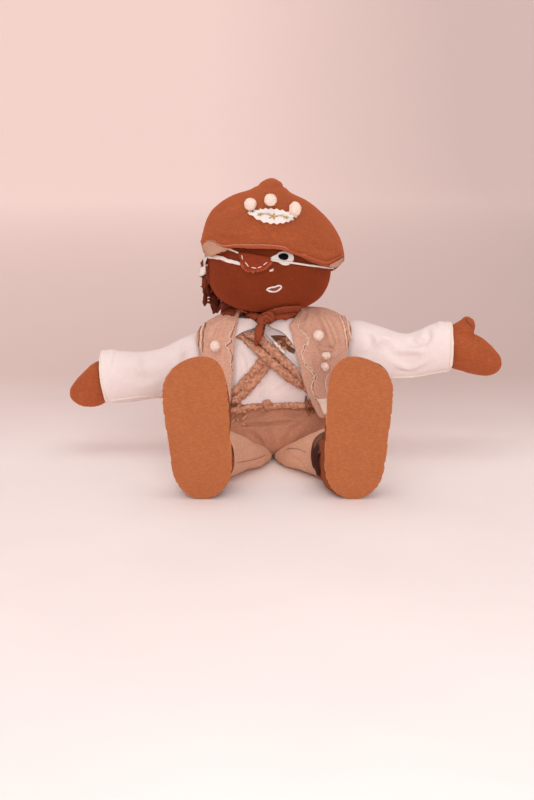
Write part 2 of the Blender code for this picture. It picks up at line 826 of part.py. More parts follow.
def make_eye():
    """The black oval eye in its ring of white felt."""
    sides = 14
    eye_x, eye_height = EYE_PLACE
    rows = []
    for share in (0.56, 1.0):
        row = []
        for step in range(sides + 1):
            angle = -2 * math.pi * step / sides
            row.append(face(eye_x + EYE_RING_HALF[0] * share * math.cos(angle),
                            eye_height + EYE_RING_HALF[1] * share * math.sin(angle), GAP * 2))
        rows.append(row)
    finish(as_mesh(sheet("eye_ring", rows, RING_THICKNESS)), "eye_ring", "white")
    middle = face(eye_x, eye_height, GAP * 2 + 0.0010)
    half = (EYE_HALF[0] * POINT, 0.0010, EYE_HALF[1] * POINT)
    finish(ball("eye", middle, half, 9, 6), "eye", "black")


def make_eye_patch():
    """The half-round eye patch, and the string that ties it round the head."""
    columns = 10
    middle = (EYE_PATCH_LEFT + EYE_PATCH_RIGHT) / 2
    half = (EYE_PATCH_RIGHT - EYE_PATCH_LEFT) / 2
    rows = []
    for share in (0.0, 0.5, 1.0):
        row = []
        for step in range(columns + 1):
            part = 2 * step / columns - 1
            drop = EYE_PATCH_DROP * max(0.05, 1 - part * part) ** 0.5
            height = EYE_PATCH_TOP - part * 1.5 - drop * (1 - share)
            row.append(face(middle + half * part, height, EYE_PATCH_LIFT))
        rows.append(row)
    finish(as_mesh(sheet("eye_patch", rows, EYE_PATCH_CLOTH)), "eye_patch", "terracotta")


def make_string():
    """The eye patch's string, from one side of the head across the face to the other."""
    radius = STRING_DIAMETER / 2
    knots = ((-88, 170, 0), (-62, 172, 0), (-42, 172, 0), (-26, 171.5, 0), (-12, 173.5, 0.8),
             (0, 174.5, 1), (14, 173, 1), (26, 171.5, 1), (40, 170, 0), (62, 168.5, 0), (84, 168, 0))
    places = []
    for turn, height, raised in smooth_path(knots, 18):
        places.append(on_head(turn, height, radius + GAP + raised * (RING_THICKNESS + GAP * 4)))
    finish(cord("eye_patch_string", places, STRING_DIAMETER, None, 1), "eye_patch_string", "white")


def make_stitches():
    """The nose's small stitch, and the slanting lips of white thread."""
    nose = face(*NOSE_PLACE, STITCH_DIAMETER * 0.5 + GAP)
    finish(ball("nose_stitch", nose, (0.0022, STITCH_DIAMETER * 0.5, 0.0009), 6, 4),
           "nose_stitch", "white")
    steps = 16
    places = []
    for step in range(steps):
        angle = 2 * math.pi * step / steps
        along = MOUTH_HALF[0] * math.cos(angle)
        across = MOUTH_HALF[1] * rounded(math.sin(angle), 1.3)
        places.append(face(MOUTH_PLACE[0] + along, MOUTH_PLACE[1] + across + MOUTH_SLANT * along,
                           STITCH_DIAMETER / 2 + GAP))
    finish(cord("mouth", places, STITCH_DIAMETER, None, 0, True), "mouth", "white")


# Each lock of hair: its turn on the head, the height of its tip in points and its width
HAIR_LOCKS = (
    ("hair_lock_side", -89, 141, 10.0),
    ("hair_lock_left", -105, 128, 13.0),
    ("hair_lock_left_back", -125, 118, 16.0),
    ("hair_lock_back", -149, 113, 16.0),
    ("hair_lock_middle_back", -174, 117, 16.0),
    ("hair_lock_right_back", 161, 114, 16.0),
)
HAIR_THICKNESS = 0.0034


def make_hair():
    """Locks of torn cloth strips, which hang behind the head from under the hat."""
    sides = 6
    levels = 5
    for name, turn, tip, width in HAIR_LOCKS:
        beside = head_skin(turn, HEAD_MIDDLE.z).x - HAT_MIDDLE.x
        top = (HAT_MIDDLE.z - HAT_DROP_BACK * math.cos(HAT_ROLL)
               - (beside + width / 2) * math.sin(HAT_ROLL) - 1.0)
        rings = []
        for level in range(levels):
            share = level / (levels - 1)
            height = top + (tip - top) * share
            held = max(height, HEAD_MIDDLE.z - 10)
            place = on_head(turn, held, HAIR_THICKNESS / 2 + GAP * 2)
            hang = (held - height) * POINT
            out = on_head(turn, held, 1.0) - on_head(turn, held)
            place = place + Vector((0, 0, -hang)) + Vector((out.x, out.y, 0)) * hang * 0.12
            side = out.cross(OUT_Z).normalized()
            half = width * POINT / 2 * (0.8 + 0.5 * share) * (1 - 0.7 * share ** 5)
            thin = HAIR_THICKNESS / 2 * (1 - 0.5 * share ** 3)
            rings.append([place + side * half * math.cos(2 * math.pi * step / sides)
                          + out * thin * math.sin(2 * math.pi * step / sides)
                          for step in range(sides)])
        finish(loft(name, rings), name, "hair")


# The collar's leaves: height, then x of the inner and outer edge
COLLAR_LEFT = (
    (103, -36, -31.5),
    (107, -36, -26),
    (110.5, -36, -15),
    (113.0, -36, -12.5),
    (115.5, -35, -17),
)
COLLAR_RIGHT = (
    (95, 20.5, 26),
    (100, 17, 26),
    (105, 12.5, 26),
    (109, 7, 25),
    (112, -1.5, 24),
    (114, 1, 23),
    (116, 6, 22),
)


def make_collar():
    """The collar's two pointed leaves, which lie over the straps' upper ends."""
    columns = 5
    lift = STRAP_DIAMETER * PINCH + GAP * 4
    for name, leaf in (("collar_left", COLLAR_LEFT), ("collar_right", COLLAR_RIGHT)):
        rows = []
        for height, low, high in leaf:
            rows.append([front(low + (high - low) * step / columns, height, lift)
                         for step in range(columns + 1)])
        finish(as_mesh(sheet(name, rows, COLLAR_CLOTH)), name, "shirt")


SCARF_DIAMETER = 0.0050
SCARF_KNOT = 0.0050


def make_scarf():
    """The neck scarf: a twisted band round the neck, its knot and one hanging end."""
    steps = 22
    places = []
    widths = []
    for step in range(steps):
        angle = 2 * math.pi * step / steps
        x = 2 + 22 * math.sin(angle)
        y = 8.4 - 19.9 * math.cos(angle)
        z = 122.8 + 0.9 * math.sin(angle)
        places.append(spot(x, y, z))
        widths.append(1.0 + 0.1 * math.sin(angle))
    band = cord("scarf_band", places, SCARF_DIAMETER, widths, 1, True)
    knot_middle = spot(-3.5, -14.5, 122.5)
    knot = ball("scarf_knot", knot_middle, (SCARF_KNOT, SCARF_KNOT * 0.8, SCARF_KNOT), 9, 6)
    over = STRAP_DIAMETER * 2 + SCARF_DIAMETER * 0.6 + GAP * 3
    tail_places = [knot_middle, front(-7.0, 114.5, over * 0.85), front(-9.5, 107.5, over),
                   front(-11.5, 101, over), front(-13.0, 95.5, over)]
    tail = cord("scarf_tail", tail_places, SCARF_DIAMETER, (0.8, 1.1, 1.15, 1.0, 0.5), 1)
    finish(join(band, knot, tail), "neck_scarf", "scarf")


# A leg's stations: middle x, y and height, half width, half height and how far its
# inner side hangs lower than its outer side
LEG_LEFT = (
    (-31.0, -55, 14.1, 27, 12.0, 0.20),
    (-36.0, -69, 17.6, 25.5, 16.0, 0.13),
    (-42.5, -85, 20.6, 23.5, 20.0, 0.06),
    (-48.0, -100, 22.6, 21.5, 22.0, 0.02),
    (-51.0, -111, 23.0, 20.6, 22.4, 0.0),
)
LEG_RIGHT = (
    (32.5, -55, 14.1, 27, 12.0, 0.20),
    (38.5, -68, 17.6, 25.5, 16.0, 0.13),
    (45.5, -82, 20.0, 24.5, 19.6, 0.06),
    (51.0, -93, 22.4, 23.6, 22.0, 0.02),
    (54.5, -102, 23.2, 23.4, 22.8, 0.0),
)
LEG_SQUARENESS = 2.4
HIP_MIDDLE = (26.6, 11.6)
HIP_HALF = (26.0, 8.6)
HIP_SLANT = 0.22
HIP_SEAM = 0.0016
LEG_SIDES = 16
LEG_HEM_DEPTH = 0.008
HEM_TURN = math.radians(7)


def hem_direction(side):
    """The way a trouser leg's open end faces."""
    return Vector((-math.sin(side * HEM_TURN), -math.cos(HEM_TURN), 0))


def make_leg(name, side, stations):
    """A trouser leg: flat where it is sewn to the seat, and an open round hem."""
    rings = []
    for share in (0.5, 1.0):
        ring = []
        for step in range(LEG_SIDES):
            angle = 2 * math.pi * step / LEG_SIDES
            out = HIP_HALF[0] * share * math.cos(angle)
            x = 0.5 * TRUNK_MIDDLE_X + side * HIP_MIDDLE[0] + out
            height = HIP_MIDDLE[1] + HIP_HALF[1] * share * math.sin(angle) + HIP_SLANT * side * out
            ring.append(front(x, height, HIP_SEAM))
        rings.append(ring)
    first = Vector(stations[0][:2])
    last = Vector(stations[-1][:2])
    splay = math.atan2(last.x - first.x, first.y - last.y)
    count = len(stations)
    for index, (x, y, height, half_width, half_height, slant) in enumerate(stations):
        turn = splay + (-side * HEM_TURN - splay) * (index / (count - 1)) ** 2
        across = Vector((math.cos(turn), math.sin(turn), slant * side))
        rings.append(oval_ring(Vector((x, y, height)), half_width, half_height,
                               across, OUT_Z, LEG_SIDES, LEG_SQUARENESS))
    along = hem_direction(side)
    for wall, depth in ((CUFF_WALL, 0.0), (CUFF_WALL * 1.5, LEG_HEM_DEPTH)):
        back = along * (depth / POINT)
        less = wall / POINT
        rings.append(oval_ring(Vector((x, y, height)) - back, half_width - less,
                               half_height - less, across, OUT_Z, LEG_SIDES,
                               LEG_SQUARENESS))
    finish(loft(name, rings), name, "trousers")


# The shoe's stations: height, depth behind the sole and share of the sole's width
SHOE_STATIONS = (
    (1.2, 14, 0.42),
    (5, 24, 0.70),
    (14, 29, 0.90),
    (30, 31, 0.96),
    (46, 30, 0.97),
    (62, 24, 0.97),
    (88, 19, 0.96),
    (104, 15, 0.84),
    (112, 10, 0.58),
    (115, 6, 0.32),
)
SOLE_LENGTH = 117.0
SOLE_HALF_TOE = 25.6
SOLE_HALF_HEEL = 23.6
SOLE_OUTSIDE_Y = -152.0
SOLE_STEPS = 15
SHOE_SIDES = 14
ANKLE_SHARE = 0.76
ANKLE_SHORT = 22.0

# The feet: side, middle x, roll in degrees, how far the shoe shows past its sole and how
# long the toe's rounding is, as a share of the sole, on its -X and its +X side
FEET = (("left", -1, -59.5, 5.0, 0.0, (0.26, 0.18), LEG_LEFT),
        ("right", 1, 68.0, 3.7, -4.0, (0.20, 0.22), LEG_RIGHT))
# The toe's end stands this much higher on the foot's inner side than on its outer side
TOE_SLANT = 5.0
TOE_SLANT_START = 0.72
HEEL_ROUNDING = 0.24
HEEL_FULLNESS = 2.1
TOE_FULLNESS = 2.2


def sole_half(height, toe):
    """Half the sole's width at a height above the heel's end, for a toe's rounding."""
    share = height / SOLE_LENGTH
    blend = min(1.0, max(0.0, (share - 0.15) / 0.5))
    half = SOLE_HALF_HEEL + (SOLE_HALF_TOE - SOLE_HALF_HEEL) * blend
    if share < HEEL_ROUNDING:
        closing = 1 - ((HEEL_ROUNDING - share) / HEEL_ROUNDING) ** HEEL_FULLNESS
        half *= closing ** (1 / HEEL_FULLNESS)
    if share > 1 - toe:
        closing = 1 - min(1.0, (share - 1 + toe) / toe) ** TOE_FULLNESS
        half *= closing ** (1 / TOE_FULLNESS)
    return half


def tilt(x, height, middle, roll):
    """A foot's place, rolled in its sole's plane about the foot's middle."""
    angle = math.radians(roll)
    rise = height - SOLE_LENGTH / 2
    return (middle + x * math.cos(angle) + rise * math.sin(angle),
            SOLE_LENGTH / 2 + rise * math.cos(angle) - x * math.sin(angle))


def toe_rise(x, height, side):
    """How much higher the slanting toe stands at a place of the sole."""
    share = max(0.0, height / SOLE_LENGTH - TOE_SLANT_START) / (1 - TOE_SLANT_START)
    return -side * TOE_SLANT * x / SOLE_HALF_TOE * share ** 1.5


def make_sole(side_name, side, middle, roll, toes):
    """The flat sole, cut from thick cloth."""
    heights = [SOLE_LENGTH * (1 - math.cos(math.pi * step / SOLE_STEPS)) / 2
               for step in range(SOLE_STEPS + 1)]
    outline = [(sole_half(height, toes[1]), height) for height in heights]
    outline += [(-sole_half(height, toes[0]), height) for height in heights[-2:0:-1]]
    outline = [(x, height + toe_rise(x, height, side)) for x, height in outline]
    curve = bpy.data.curves.new("sole", "CURVE")
    curve.dimensions = "2D"
    curve.fill_mode = "BOTH"
    curve.extrude = SOLE_THICKNESS / 2
    spline = curve.splines.new("POLY")
    spline.points.add(len(outline) - 1)
    for point, (x, height) in zip(spline.points, outline):
        tilted_x, tilted_height = tilt(x, height, 0.0, side * roll)
        point.co = (tilted_x * POINT, tilted_height * POINT, 0.0, 1.0)
    spline.use_cyclic_u = True
    sole = bpy.data.objects.new("sole", curve)
    bpy.context.scene.collection.objects.link(sole)
    sole.rotation_euler = (math.radians(90), 0.0, 0.0)
    sole.location = (middle * POINT, SOLE_OUTSIDE_Y * POINT + SOLE_THICKNESS / 2, 0.0)
    bpy.context.view_layer.update()
    finish(as_mesh(sole), "sole_" + side_name, "terracotta")


def make_shoe(side_name, side, middle, roll, stations):
    """A stuffed shoe behind its sole, and the ankle that goes into the trouser leg."""
    face_y = SOLE_OUTSIDE_Y * POINT + SOLE_THICKNESS + GAP
    rings = []
    for height, depth, share in SHOE_STATIONS:
        half_width = SOLE_HALF_HEEL if height < 50 else SOLE_HALF_TOE
        ring = []
        for step in range(SHOE_SIDES):
            angle = 2 * math.pi * step / SHOE_SIDES
            x = half_width * share * rounded(math.cos(angle), 0.75)
            back = depth * (0.5 + 0.5 * rounded(math.sin(angle), 0.75))
            tilted_x, tilted_height = tilt(x, height, middle, side * roll)
            ring.append(Vector((tilted_x * POINT, face_y + back * POINT, tilted_height * POINT)))
        rings.append(ring)
    shoe = loft("shoe", rings)
    hem = Vector(stations[-1][:3])
    along = hem_direction(side)
    start = hem * POINT - along * (LEG_HEM_DEPTH - 2 * GAP)
    ankle_half = stations[-1][4] * ANKLE_SHARE * POINT
    end = hem * POINT + along * (hem.y - SOLE_OUTSIDE_Y - ANKLE_SHORT) * POINT
    ankle = cord("ankle", [start, start.lerp(end, 0.5), end], ankle_half * 2, None, 3)
    finish(join(shoe, ankle), "shoe_" + side_name, "terracotta")


def make_legs():
    for side_name, side, middle, roll, shift, toes, stations in FEET:
        make_leg("trouser_leg_" + side_name, side, stations)
        make_sole(side_name, side, middle, roll, toes)
        make_shoe(side_name, side, middle + shift, roll, stations)


def main():
    make_shorts()
    make_shirt()
    make_hands()
    make_vest()
    make_vest_trims()
    make_beads()
    make_tab()
    make_straps()
    make_belt()
    make_head()
    make_hat()
    make_hat_beads()
    make_hat_patch()
    make_eye()
    make_eye_patch()
    make_string()
    make_stitches()
    make_hair()
    make_collar()
    make_scarf()
    make_legs()


main()
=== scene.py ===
"""The looks of a seated cotton rag doll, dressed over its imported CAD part.

Each CAD node is refined into a finer cloth piece. A short cloth simulation swells the head and
the hands, folds are pressed in along lines, and cords, hems, stitches and torn edges are laid
on the surfaces that carry them. Places are in metres. Widths, depths and lifts that are given
to the functions are in millimetres, and lines and outlines are in pixels of the picture.
"""
import math
import random
from functools import partial

import bmesh
import bpy
import numpy as np
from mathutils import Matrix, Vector, noise
from mathutils.bvhtree import BVHTree


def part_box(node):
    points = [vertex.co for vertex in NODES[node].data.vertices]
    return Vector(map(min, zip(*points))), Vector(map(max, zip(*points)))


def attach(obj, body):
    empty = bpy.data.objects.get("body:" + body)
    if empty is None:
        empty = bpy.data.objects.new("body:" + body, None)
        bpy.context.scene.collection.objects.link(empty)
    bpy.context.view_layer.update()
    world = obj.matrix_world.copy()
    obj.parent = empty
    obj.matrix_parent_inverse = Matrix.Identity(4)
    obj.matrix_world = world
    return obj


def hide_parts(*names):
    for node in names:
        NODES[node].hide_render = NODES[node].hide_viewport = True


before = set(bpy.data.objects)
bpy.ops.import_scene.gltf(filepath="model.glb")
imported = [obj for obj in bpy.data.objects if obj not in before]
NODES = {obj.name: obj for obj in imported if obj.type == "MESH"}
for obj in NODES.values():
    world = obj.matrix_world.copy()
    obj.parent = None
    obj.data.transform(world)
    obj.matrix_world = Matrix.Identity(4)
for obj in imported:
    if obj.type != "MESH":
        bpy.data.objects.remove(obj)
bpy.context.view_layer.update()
MM = 0.001
SIDES = ("left", "right")
RANDOM = random.Random(7)

# The camera stands where the photograph was taken from
PICTURE_WIDTH = 534
PICTURE_HEIGHT = 800
LENS = 67.5
SENSOR = 36.0
CAMERA_RISE = math.radians(14)
CAMERA_DISTANCE = 1.35
CAMERA_AIM = Vector((-4.4 * MM, 0.0, 45 * MM))
CAMERA_PLACE = CAMERA_AIM + CAMERA_DISTANCE * Vector(
    (0.0, -math.cos(CAMERA_RISE), math.sin(CAMERA_RISE)))
CAMERA_TURN = (CAMERA_AIM - CAMERA_PLACE).to_track_quat("-Z", "Y")
PICTURE_SCALE = LENS / SENSOR * PICTURE_HEIGHT


def link(name, data, place=None, turn=None):
    """A new object in the scene, which stands at a place with a turn."""
    made = bpy.data.objects.new(name, data)
    if place:
        made.location = place
        made.rotation_mode = "QUATERNION"
        made.rotation_quaternion = turn
    bpy.context.scene.collection.objects.link(made)
    return made


def make_camera():
    data = bpy.data.cameras.new("camera")
    data.lens = LENS
    data.sensor_width = SENSOR
    data.sensor_fit = "AUTO"
    data.dof.use_dof = False
    bpy.context.scene.camera = link("camera", data, CAMERA_PLACE, CAMERA_TURN)


def sight(px, py):
    """The direction in which the camera sees a point of the picture."""
    local = Vector(((px - PICTURE_WIDTH / 2) / PICTURE_SCALE,
                    (PICTURE_HEIGHT / 2 - py) / PICTURE_SCALE, -1.0))
    return (CAMERA_TURN @ local).normalized()


# Colours are in sRGB steps of 255, as they show in plain light
STAGE = (252, 244, 243)
WALL = (228, 208, 203)

# Each cloth's slot and colour, then its thread in millimetres, and its weave, fuzz, mottle,
# sheen, roughness, grain and marks
CLOTHS = {
    "sole": ("terracotta_cloth", (185, 111, 70), 0.7, 0.35, 0.3, 0.06, 0.3, 0.95, 0.2, 1.0),
    "hat": ("terracotta_cloth", (178, 94, 56), 0.7, 0.4, 0.35, 0.13, 1.8, 0.95, 0.4, 1.5),
    # face: the terracotta cloth painted darker, as painted shade under the hat's brim
    "face": ("face_cloth", (136, 57, 26), 0.6, 0.3, 0.4, 0.16, 2.6, 0.95, 0.4, 2.6),
    "hand": ("terracotta_cloth", (178, 94, 56), 0.7, 0.35, 0.35, 0.16, 1.8, 0.95, 0.3, 1.5),
    "shoe": ("terracotta_cloth", (150, 82, 52), 0.7, 0.35, 0.35, 0.1, 0.3, 0.95, 0.25),
    "shirt": ("shirt_cotton", (246, 234, 232), 0.55, 0.25, 0.1, 0.03, 0.15, 0.9, 0.03, 0.12),
    "vest": ("vest_cloth", (226, 178, 156), 0.9, 0.6, 0.25, 0.1, 0.25, 0.92, 0.35),
    # The vest's cloth made lighter: painted highlight on the armholes' ridges and the ruck by the right trim
    "vest_highlight": ("vest_cloth", (248, 208, 188), 0.6, 0.5, 0.3, 0.1),
    "shorts": ("shorts_cloth", (202, 146, 118), 0.7, 0.5, 0.2, 0.12, 0.3, 0.9, 0.3),
    "trousers": ("trouser_cloth", (232, 180, 152), 0.8, 0.6, 0.25, 0.07, 0.2, 0.92, 0.3),
    "lining": ("trouser_cloth", (206, 160, 136), 0.8, 0.6, 0.25, 0.08, 0.2, 0.92, 0.3),
    "white": ("white_trim", (250, 240, 236), 0.5, 0.4, 0.3, 0.05, 0.2, 0.85, 0.1, 0.4),
    "trim": ("white_trim", (250, 220, 202), 0.5, 0.5, 0.3, 0.08, 0.2, 0.85, 0.2, 0.5),
    "hair": ("hair_cloth", (130, 60, 38), 0.9, 0.7, 0.5, 0.2, 0.25, 0.95, 0.5),
    "scarf": ("scarf_cloth", (160, 78, 50), 0.7, 0.6, 0.4, 0.14, 0.25, 0.92, 0.4),
    "tab": ("tab_cloth", (252, 230, 212), 0.7, 0.4, 0.2, 0.04, 0.2, 0.9, 0.1, 0.2),
    "hem": ("terracotta_cloth", (208, 138, 106), 0.6, 0.4, 0.3, 0.1, 0.2, 0.9, 0.3),
    "roll": ("terracotta_cloth", (182, 92, 60), 0.6, 0.4, 0.3, 0.1, 0.2, 0.9, 0.3),
    "patch": ("terracotta_cloth", (152, 64, 38), 0.6, 0.4, 0.4, 0.14, 0.2, 0.95, 0.3),
    "rim": ("terracotta_cloth", (204, 128, 84), 0.5, 0.4, 0.5, 0.14, 0.2, 0.95, 0.3),
    # dark: a near-black cloth for the right ankle's opening, painted shadow over dark cloth
    "dark": ("hair_cloth", (70, 36, 26), 0.7, 0.4, 0.2, 0.2, 0.1, 0.95, 0.2),
    "shadow": ("cord_cloth", (132, 86, 62), 0.7, 0.4, 0.3, 0.2, 0.1, 0.95, 0.2),
    "cuff": ("shirt_cotton", (252, 236, 222), 0.5, 0.3, 0.2, 0.04, 0.15, 0.9, 0.05, 0.2),
}
# The slot of each gathered cloth, its painted shade in the folds' depths and painted highlight on their tops
GATHERED = {
    "cord": ("cord_cloth", (170, 114, 88), (226, 170, 140)),
    # The belt's loose ends: the cord's colours darkened, as painted shade beside the vest
    "cord_shaded": ("cord_cloth", (132, 86, 62), (170, 108, 80)),
}
# The slot and colour of each small smooth thing, then its roughness, mottle and gloss
SMOOTH = {
    "bead": ("bead_white", (250, 228, 214), 0.6),
    "eye": ("eye_black", (10, 7, 7), 0.8, 0.3, 0.12),
    "gold": ("white_trim", (190, 164, 104), 0.4, 0.2),
    # seam: dark threads as painted shade beside the vest's trims and ridges, and along the trouser seams
    "seam": ("vest_cloth", (156, 102, 80), 0.8),
    # lips: the mouth's middle, and dark threads as painted shade in the thumb's crease and the cuffs' gaps
    "lips": ("terracotta_cloth", (146, 84, 64), 0.9, 0.06, 0.1),
}

# What all cloth shares: its marks' tone, the noise of its slubs, spots and slow changes
MARK_TONE = (0.80, 0.77, 0.74, 1.0)
SLUBS_ACROSS = (120, 900, 1500)
SLUBS_DOWN = (1500, 900, 120)
SPOTS = (330, 600, 760)
CLOUDS = 34.0
CRINKLES = 330.0
CLOTH_GLOSS = 0.25
SHEEN_SHARE = 0.3
SHEEN_SPREAD = 0.5
SHEEN_TINT = 2.0


def linear(colour):
    """A colour in sRGB steps as linear light, with its alpha."""
    shares = [step / 255 for step in colour]
    return (*[share / 12.92 if share <= 0.04045 else ((share + 0.055) / 1.055) ** 2.4
              for share in shares], 1.0)


def shade(colour, factor):
    """A colour made darker or lighter by a factor of its light."""
    red, green, blue, alpha = linear(colour)
    return (min(1.0, red * factor), min(1.0, green * factor), min(1.0, blue * factor), alpha)


class Nodes:
    """A short way to build a material's node tree."""

    def __init__(self, name):
        self.material = bpy.data.materials.new(name)
        self.material.use_nodes = True
        self.tree = self.material.node_tree
        self.shader = self.tree.nodes["Principled BSDF"]
        self.place = self.tree.nodes.new("ShaderNodeTexCoord").outputs["Object"]

    def add(self, kind, links=None, **values):
        node = self.tree.nodes.new(kind)
        for name, value in values.items():
            setattr(node, name, value)
        for name, value in (links or {}).items():
            self.feed(node.inputs[name], value)
        return node

    def feed(self, socket, value):
        if isinstance(value, bpy.types.NodeSocket):
            self.tree.links.new(value, socket)
        else:
            socket.default_value = value

    def stretched(self, scale):
        """The place on the piece, stretched along its axes."""
        return self.add("ShaderNodeMapping", {"Vector": self.place, "Scale": scale}).outputs[0]

    def cloudy(self, scale, detail=3.0, place=None):
        node = self.add("ShaderNodeTexNoise",
                        {"Vector": place or self.place, "Scale": scale, "Detail": detail})
        return node.outputs["Fac"]

    def maths(self, operation, first, second):
        return self.add("ShaderNodeMath", {0: first, 1: second}, operation=operation).outputs[0]

    def thread_wave(self, direction, size):
        """Ridges of threads which follow each other along one axis."""
        return self.add("ShaderNodeTexWave",
                        {"Vector": self.place, "Scale": 0.314 / size, "Distortion": 1.2,
                         "Detail": 2.0, "Detail Scale": 0.6},
                        wave_type="BANDS", bands_direction=direction).outputs["Fac"]

    def blend(self, factor, first, second, mode="MIX"):
        node = self.add("ShaderNodeMix", {0: factor, 6: first, 7: second},
                        data_type="RGBA", blend_type=mode)
        return node.outputs[2]

    def ramp(self, factor, low, high):
        """The factor's stretch from low to high as 0 to 1."""
        node = self.add("ShaderNodeMapRange", {0: factor, 1: low, 2: high})
        return node.outputs[0]

    def bump(self, height, strength, distance):
        """A height as a slope of the surface; the distance is in millimetres."""
        node = self.add("ShaderNodeBump", {"Height": height, "Strength": strength,
                                           "Distance": distance * MM})
        return node.outputs[0]

    def finish(self, **inputs):
        """Feed the shader's inputs, whose names are given with _ for a space."""
        for name, value in inputs.items():
            self.feed(self.shader.inputs[name.replace("_", " ")], value)
        return self.material


def cloth(name, colour, thread, weave, fuzz, mottle, sheen=0.25, roughness=0.9, grain=0.0,
          marks=0.9):
    """Woven cotton: threads both ways, fuzz, slubs and slow changes of colour."""
    nodes = Nodes(name)
    size = thread * MM
    across = nodes.maths("ADD", nodes.thread_wave("X", size), nodes.thread_wave("Z", size))
    threads = nodes.maths("ADD", across, nodes.thread_wave("Y", size))
    threads = nodes.maths("DIVIDE", threads, 3.0)
    fluff = nodes.cloudy(0.9 / size, 4.0)
    slubs = nodes.maths("ADD", nodes.cloudy(1.0, 2.0, nodes.stretched(SLUBS_ACROSS)),
                        nodes.cloudy(1.0, 2.0, nodes.stretched(SLUBS_DOWN)))
    slubs = nodes.ramp(slubs, 0.75, 1.3)
    slow = nodes.ramp(nodes.cloudy(CLOUDS, 4.0), 0.3, 0.7)
    tone = nodes.blend(slow, shade(colour, 1 - mottle), shade(colour, 1 + mottle))
    tone = nodes.blend(nodes.ramp(fluff, 0.35, 0.75), tone, shade(colour, 1 + fuzz * 0.5))
    spots = nodes.ramp(nodes.cloudy(1.0, 5.0, nodes.stretched(SPOTS)), 0.68, 0.34)
    marked = nodes.blend(1.0, tone, MARK_TONE, "MULTIPLY")
    tone = nodes.blend(nodes.maths("MULTIPLY", spots, marks), tone, marked)
    dark = nodes.maths("MULTIPLY", nodes.ramp(threads, 0.62, 0.2), weave * 0.5)
    tone = nodes.blend(dark, tone, shade(colour, 0.6))
    if grain:
        tone = nodes.blend(nodes.maths("MULTIPLY", slubs, grain), tone, shade(colour, 0.72))
    height = nodes.maths("ADD", nodes.maths("MULTIPLY", threads, weave),
                         nodes.maths("MULTIPLY", fluff, fuzz * 2))
    height = nodes.maths("ADD", height, nodes.maths("MULTIPLY", slubs, 0.4 + grain))
    return nodes.finish(Base_Color=tone, Normal=nodes.bump(height, 0.55, 0.35),
                        Roughness=roughness, Specular_IOR_Level=CLOTH_GLOSS,
                        Sheen_Weight=sheen * SHEEN_SHARE, Sheen_Roughness=SHEEN_SPREAD,
                        Sheen_Tint=shade(colour, SHEEN_TINT))


def gathered(name, low, high):
    """Cloth gathered into many small folds, with painted shade in their depths and painted highlight on their
    tops.
    """
    nodes = Nodes(name)
    folds = nodes.cloudy(CRINKLES, 4.0)
    # The colour follows the folds' own noise: painted shade low, painted highlight high
    tone = nodes.blend(nodes.ramp(folds, 0.38, 0.62), linear(low), linear(high))
    slow = nodes.ramp(nodes.cloudy(90.0, 3.0), 0.3, 0.7)
    tone = nodes.blend(nodes.maths("MULTIPLY", slow, 0.4), tone, shade(high, 0.7))
    threads = nodes.maths("MULTIPLY", nodes.cloudy(1800.0, 2.0), 0.25)
    height = nodes.maths("ADD", folds, threads)
    return nodes.finish(Base_Color=tone, Normal=nodes.bump(height, 0.9, 1.1), Roughness=0.92,
                        Specular_IOR_Level=CLOTH_GLOSS)


def painted(name, colour, roughness, mottle=0.06, gloss=0.5):
    """A smooth small hard surface, such as a bead or a shiny thread."""
    nodes = Nodes(name)
    tone = nodes.blend(nodes.ramp(nodes.cloudy(420.0), 0.35, 0.7), shade(colour, 1 - mottle * 2),
                       shade(colour, 1 + mottle))
    return nodes.finish(Base_Color=tone, Normal=nodes.bump(nodes.cloudy(900.0), 0.25, 0.3),
                        Roughness=roughness, Specular_IOR_Level=gloss)


def make_looks():
    """Each material and its slot, by the name of its row above."""
    return {name: (maker(name + "_look", *values), slot)
            for maker, rows in ((cloth, CLOTHS), (gathered, GATHERED), (painted, SMOOTH))
            for name, (slot, *values) in rows.items()}


# Meshes

WELD = 0.02 * MM
JOIN_BEND = math.radians(50)
JOIN_SKEW = math.radians(60)
REFINE_ROUNDS = 3
REFINE_SHARE = 0.8
FOLD_STEPS = 24
# The ridges beside a pressed fold: how far away in widths, and their share of its depth
RIDGE_AWAY = 1.7
RIDGE_SHARE = 0.45


def welded(node):
    """A node's faces as a work mesh, with its triangles joined to quads."""
    work = bmesh.new()
    work.from_mesh(NODES[node].data)
    bmesh.ops.remove_doubles(work, verts=work.verts, dist=WELD)
    bmesh.ops.join_triangles(work, faces=work.faces, angle_face_threshold=JOIN_BEND,
                             angle_shape_threshold=JOIN_SKEW)
    return work


def object_of(name, work):
    """A new object from a work mesh's corners and faces alone."""
    work.verts.index_update()
    mesh = bpy.data.meshes.new(name)
    mesh.from_pydata([corner.co[:] for corner in work.verts], [],
                     [[corner.index for corner in face.verts] for face in work.faces])
    work.free()
    return link(name, mesh)


def bridge(work, rings, closed=False):
    """Faces between rings or rows of a work mesh's corners."""
    for first, second in zip(rings, rings[1:]):
        for index in range(len(first) if closed else len(first) - 1):
            after = (index + 1) % len(first)
            work.faces.new((first[index], first[after], second[after], second[index]))


def settle(piece):
    """Work out the piece's modifiers into its mesh."""
    graph = bpy.context.evaluated_depsgraph_get()
    mesh = bpy.data.meshes.new_from_object(piece.evaluated_get(graph))
    piece.modifiers.clear()
    old = piece.data
    piece.data = mesh
    bpy.data.meshes.remove(old)
    return piece


def subdivide(piece, levels):
    smooth = piece.modifiers.new("Smooth", "SUBSURF")
    smooth.levels = levels
    smooth.render_levels = levels
    return settle(piece)


def read(rows, what):
    """One vector of each of a mesh's rows, as an array."""
    flat = np.empty(len(rows) * 3, np.float64)
    rows.foreach_get(what, flat)
    return flat.reshape(-1, 3)


def corners(piece):
    return read(piece.data.vertices, "co")


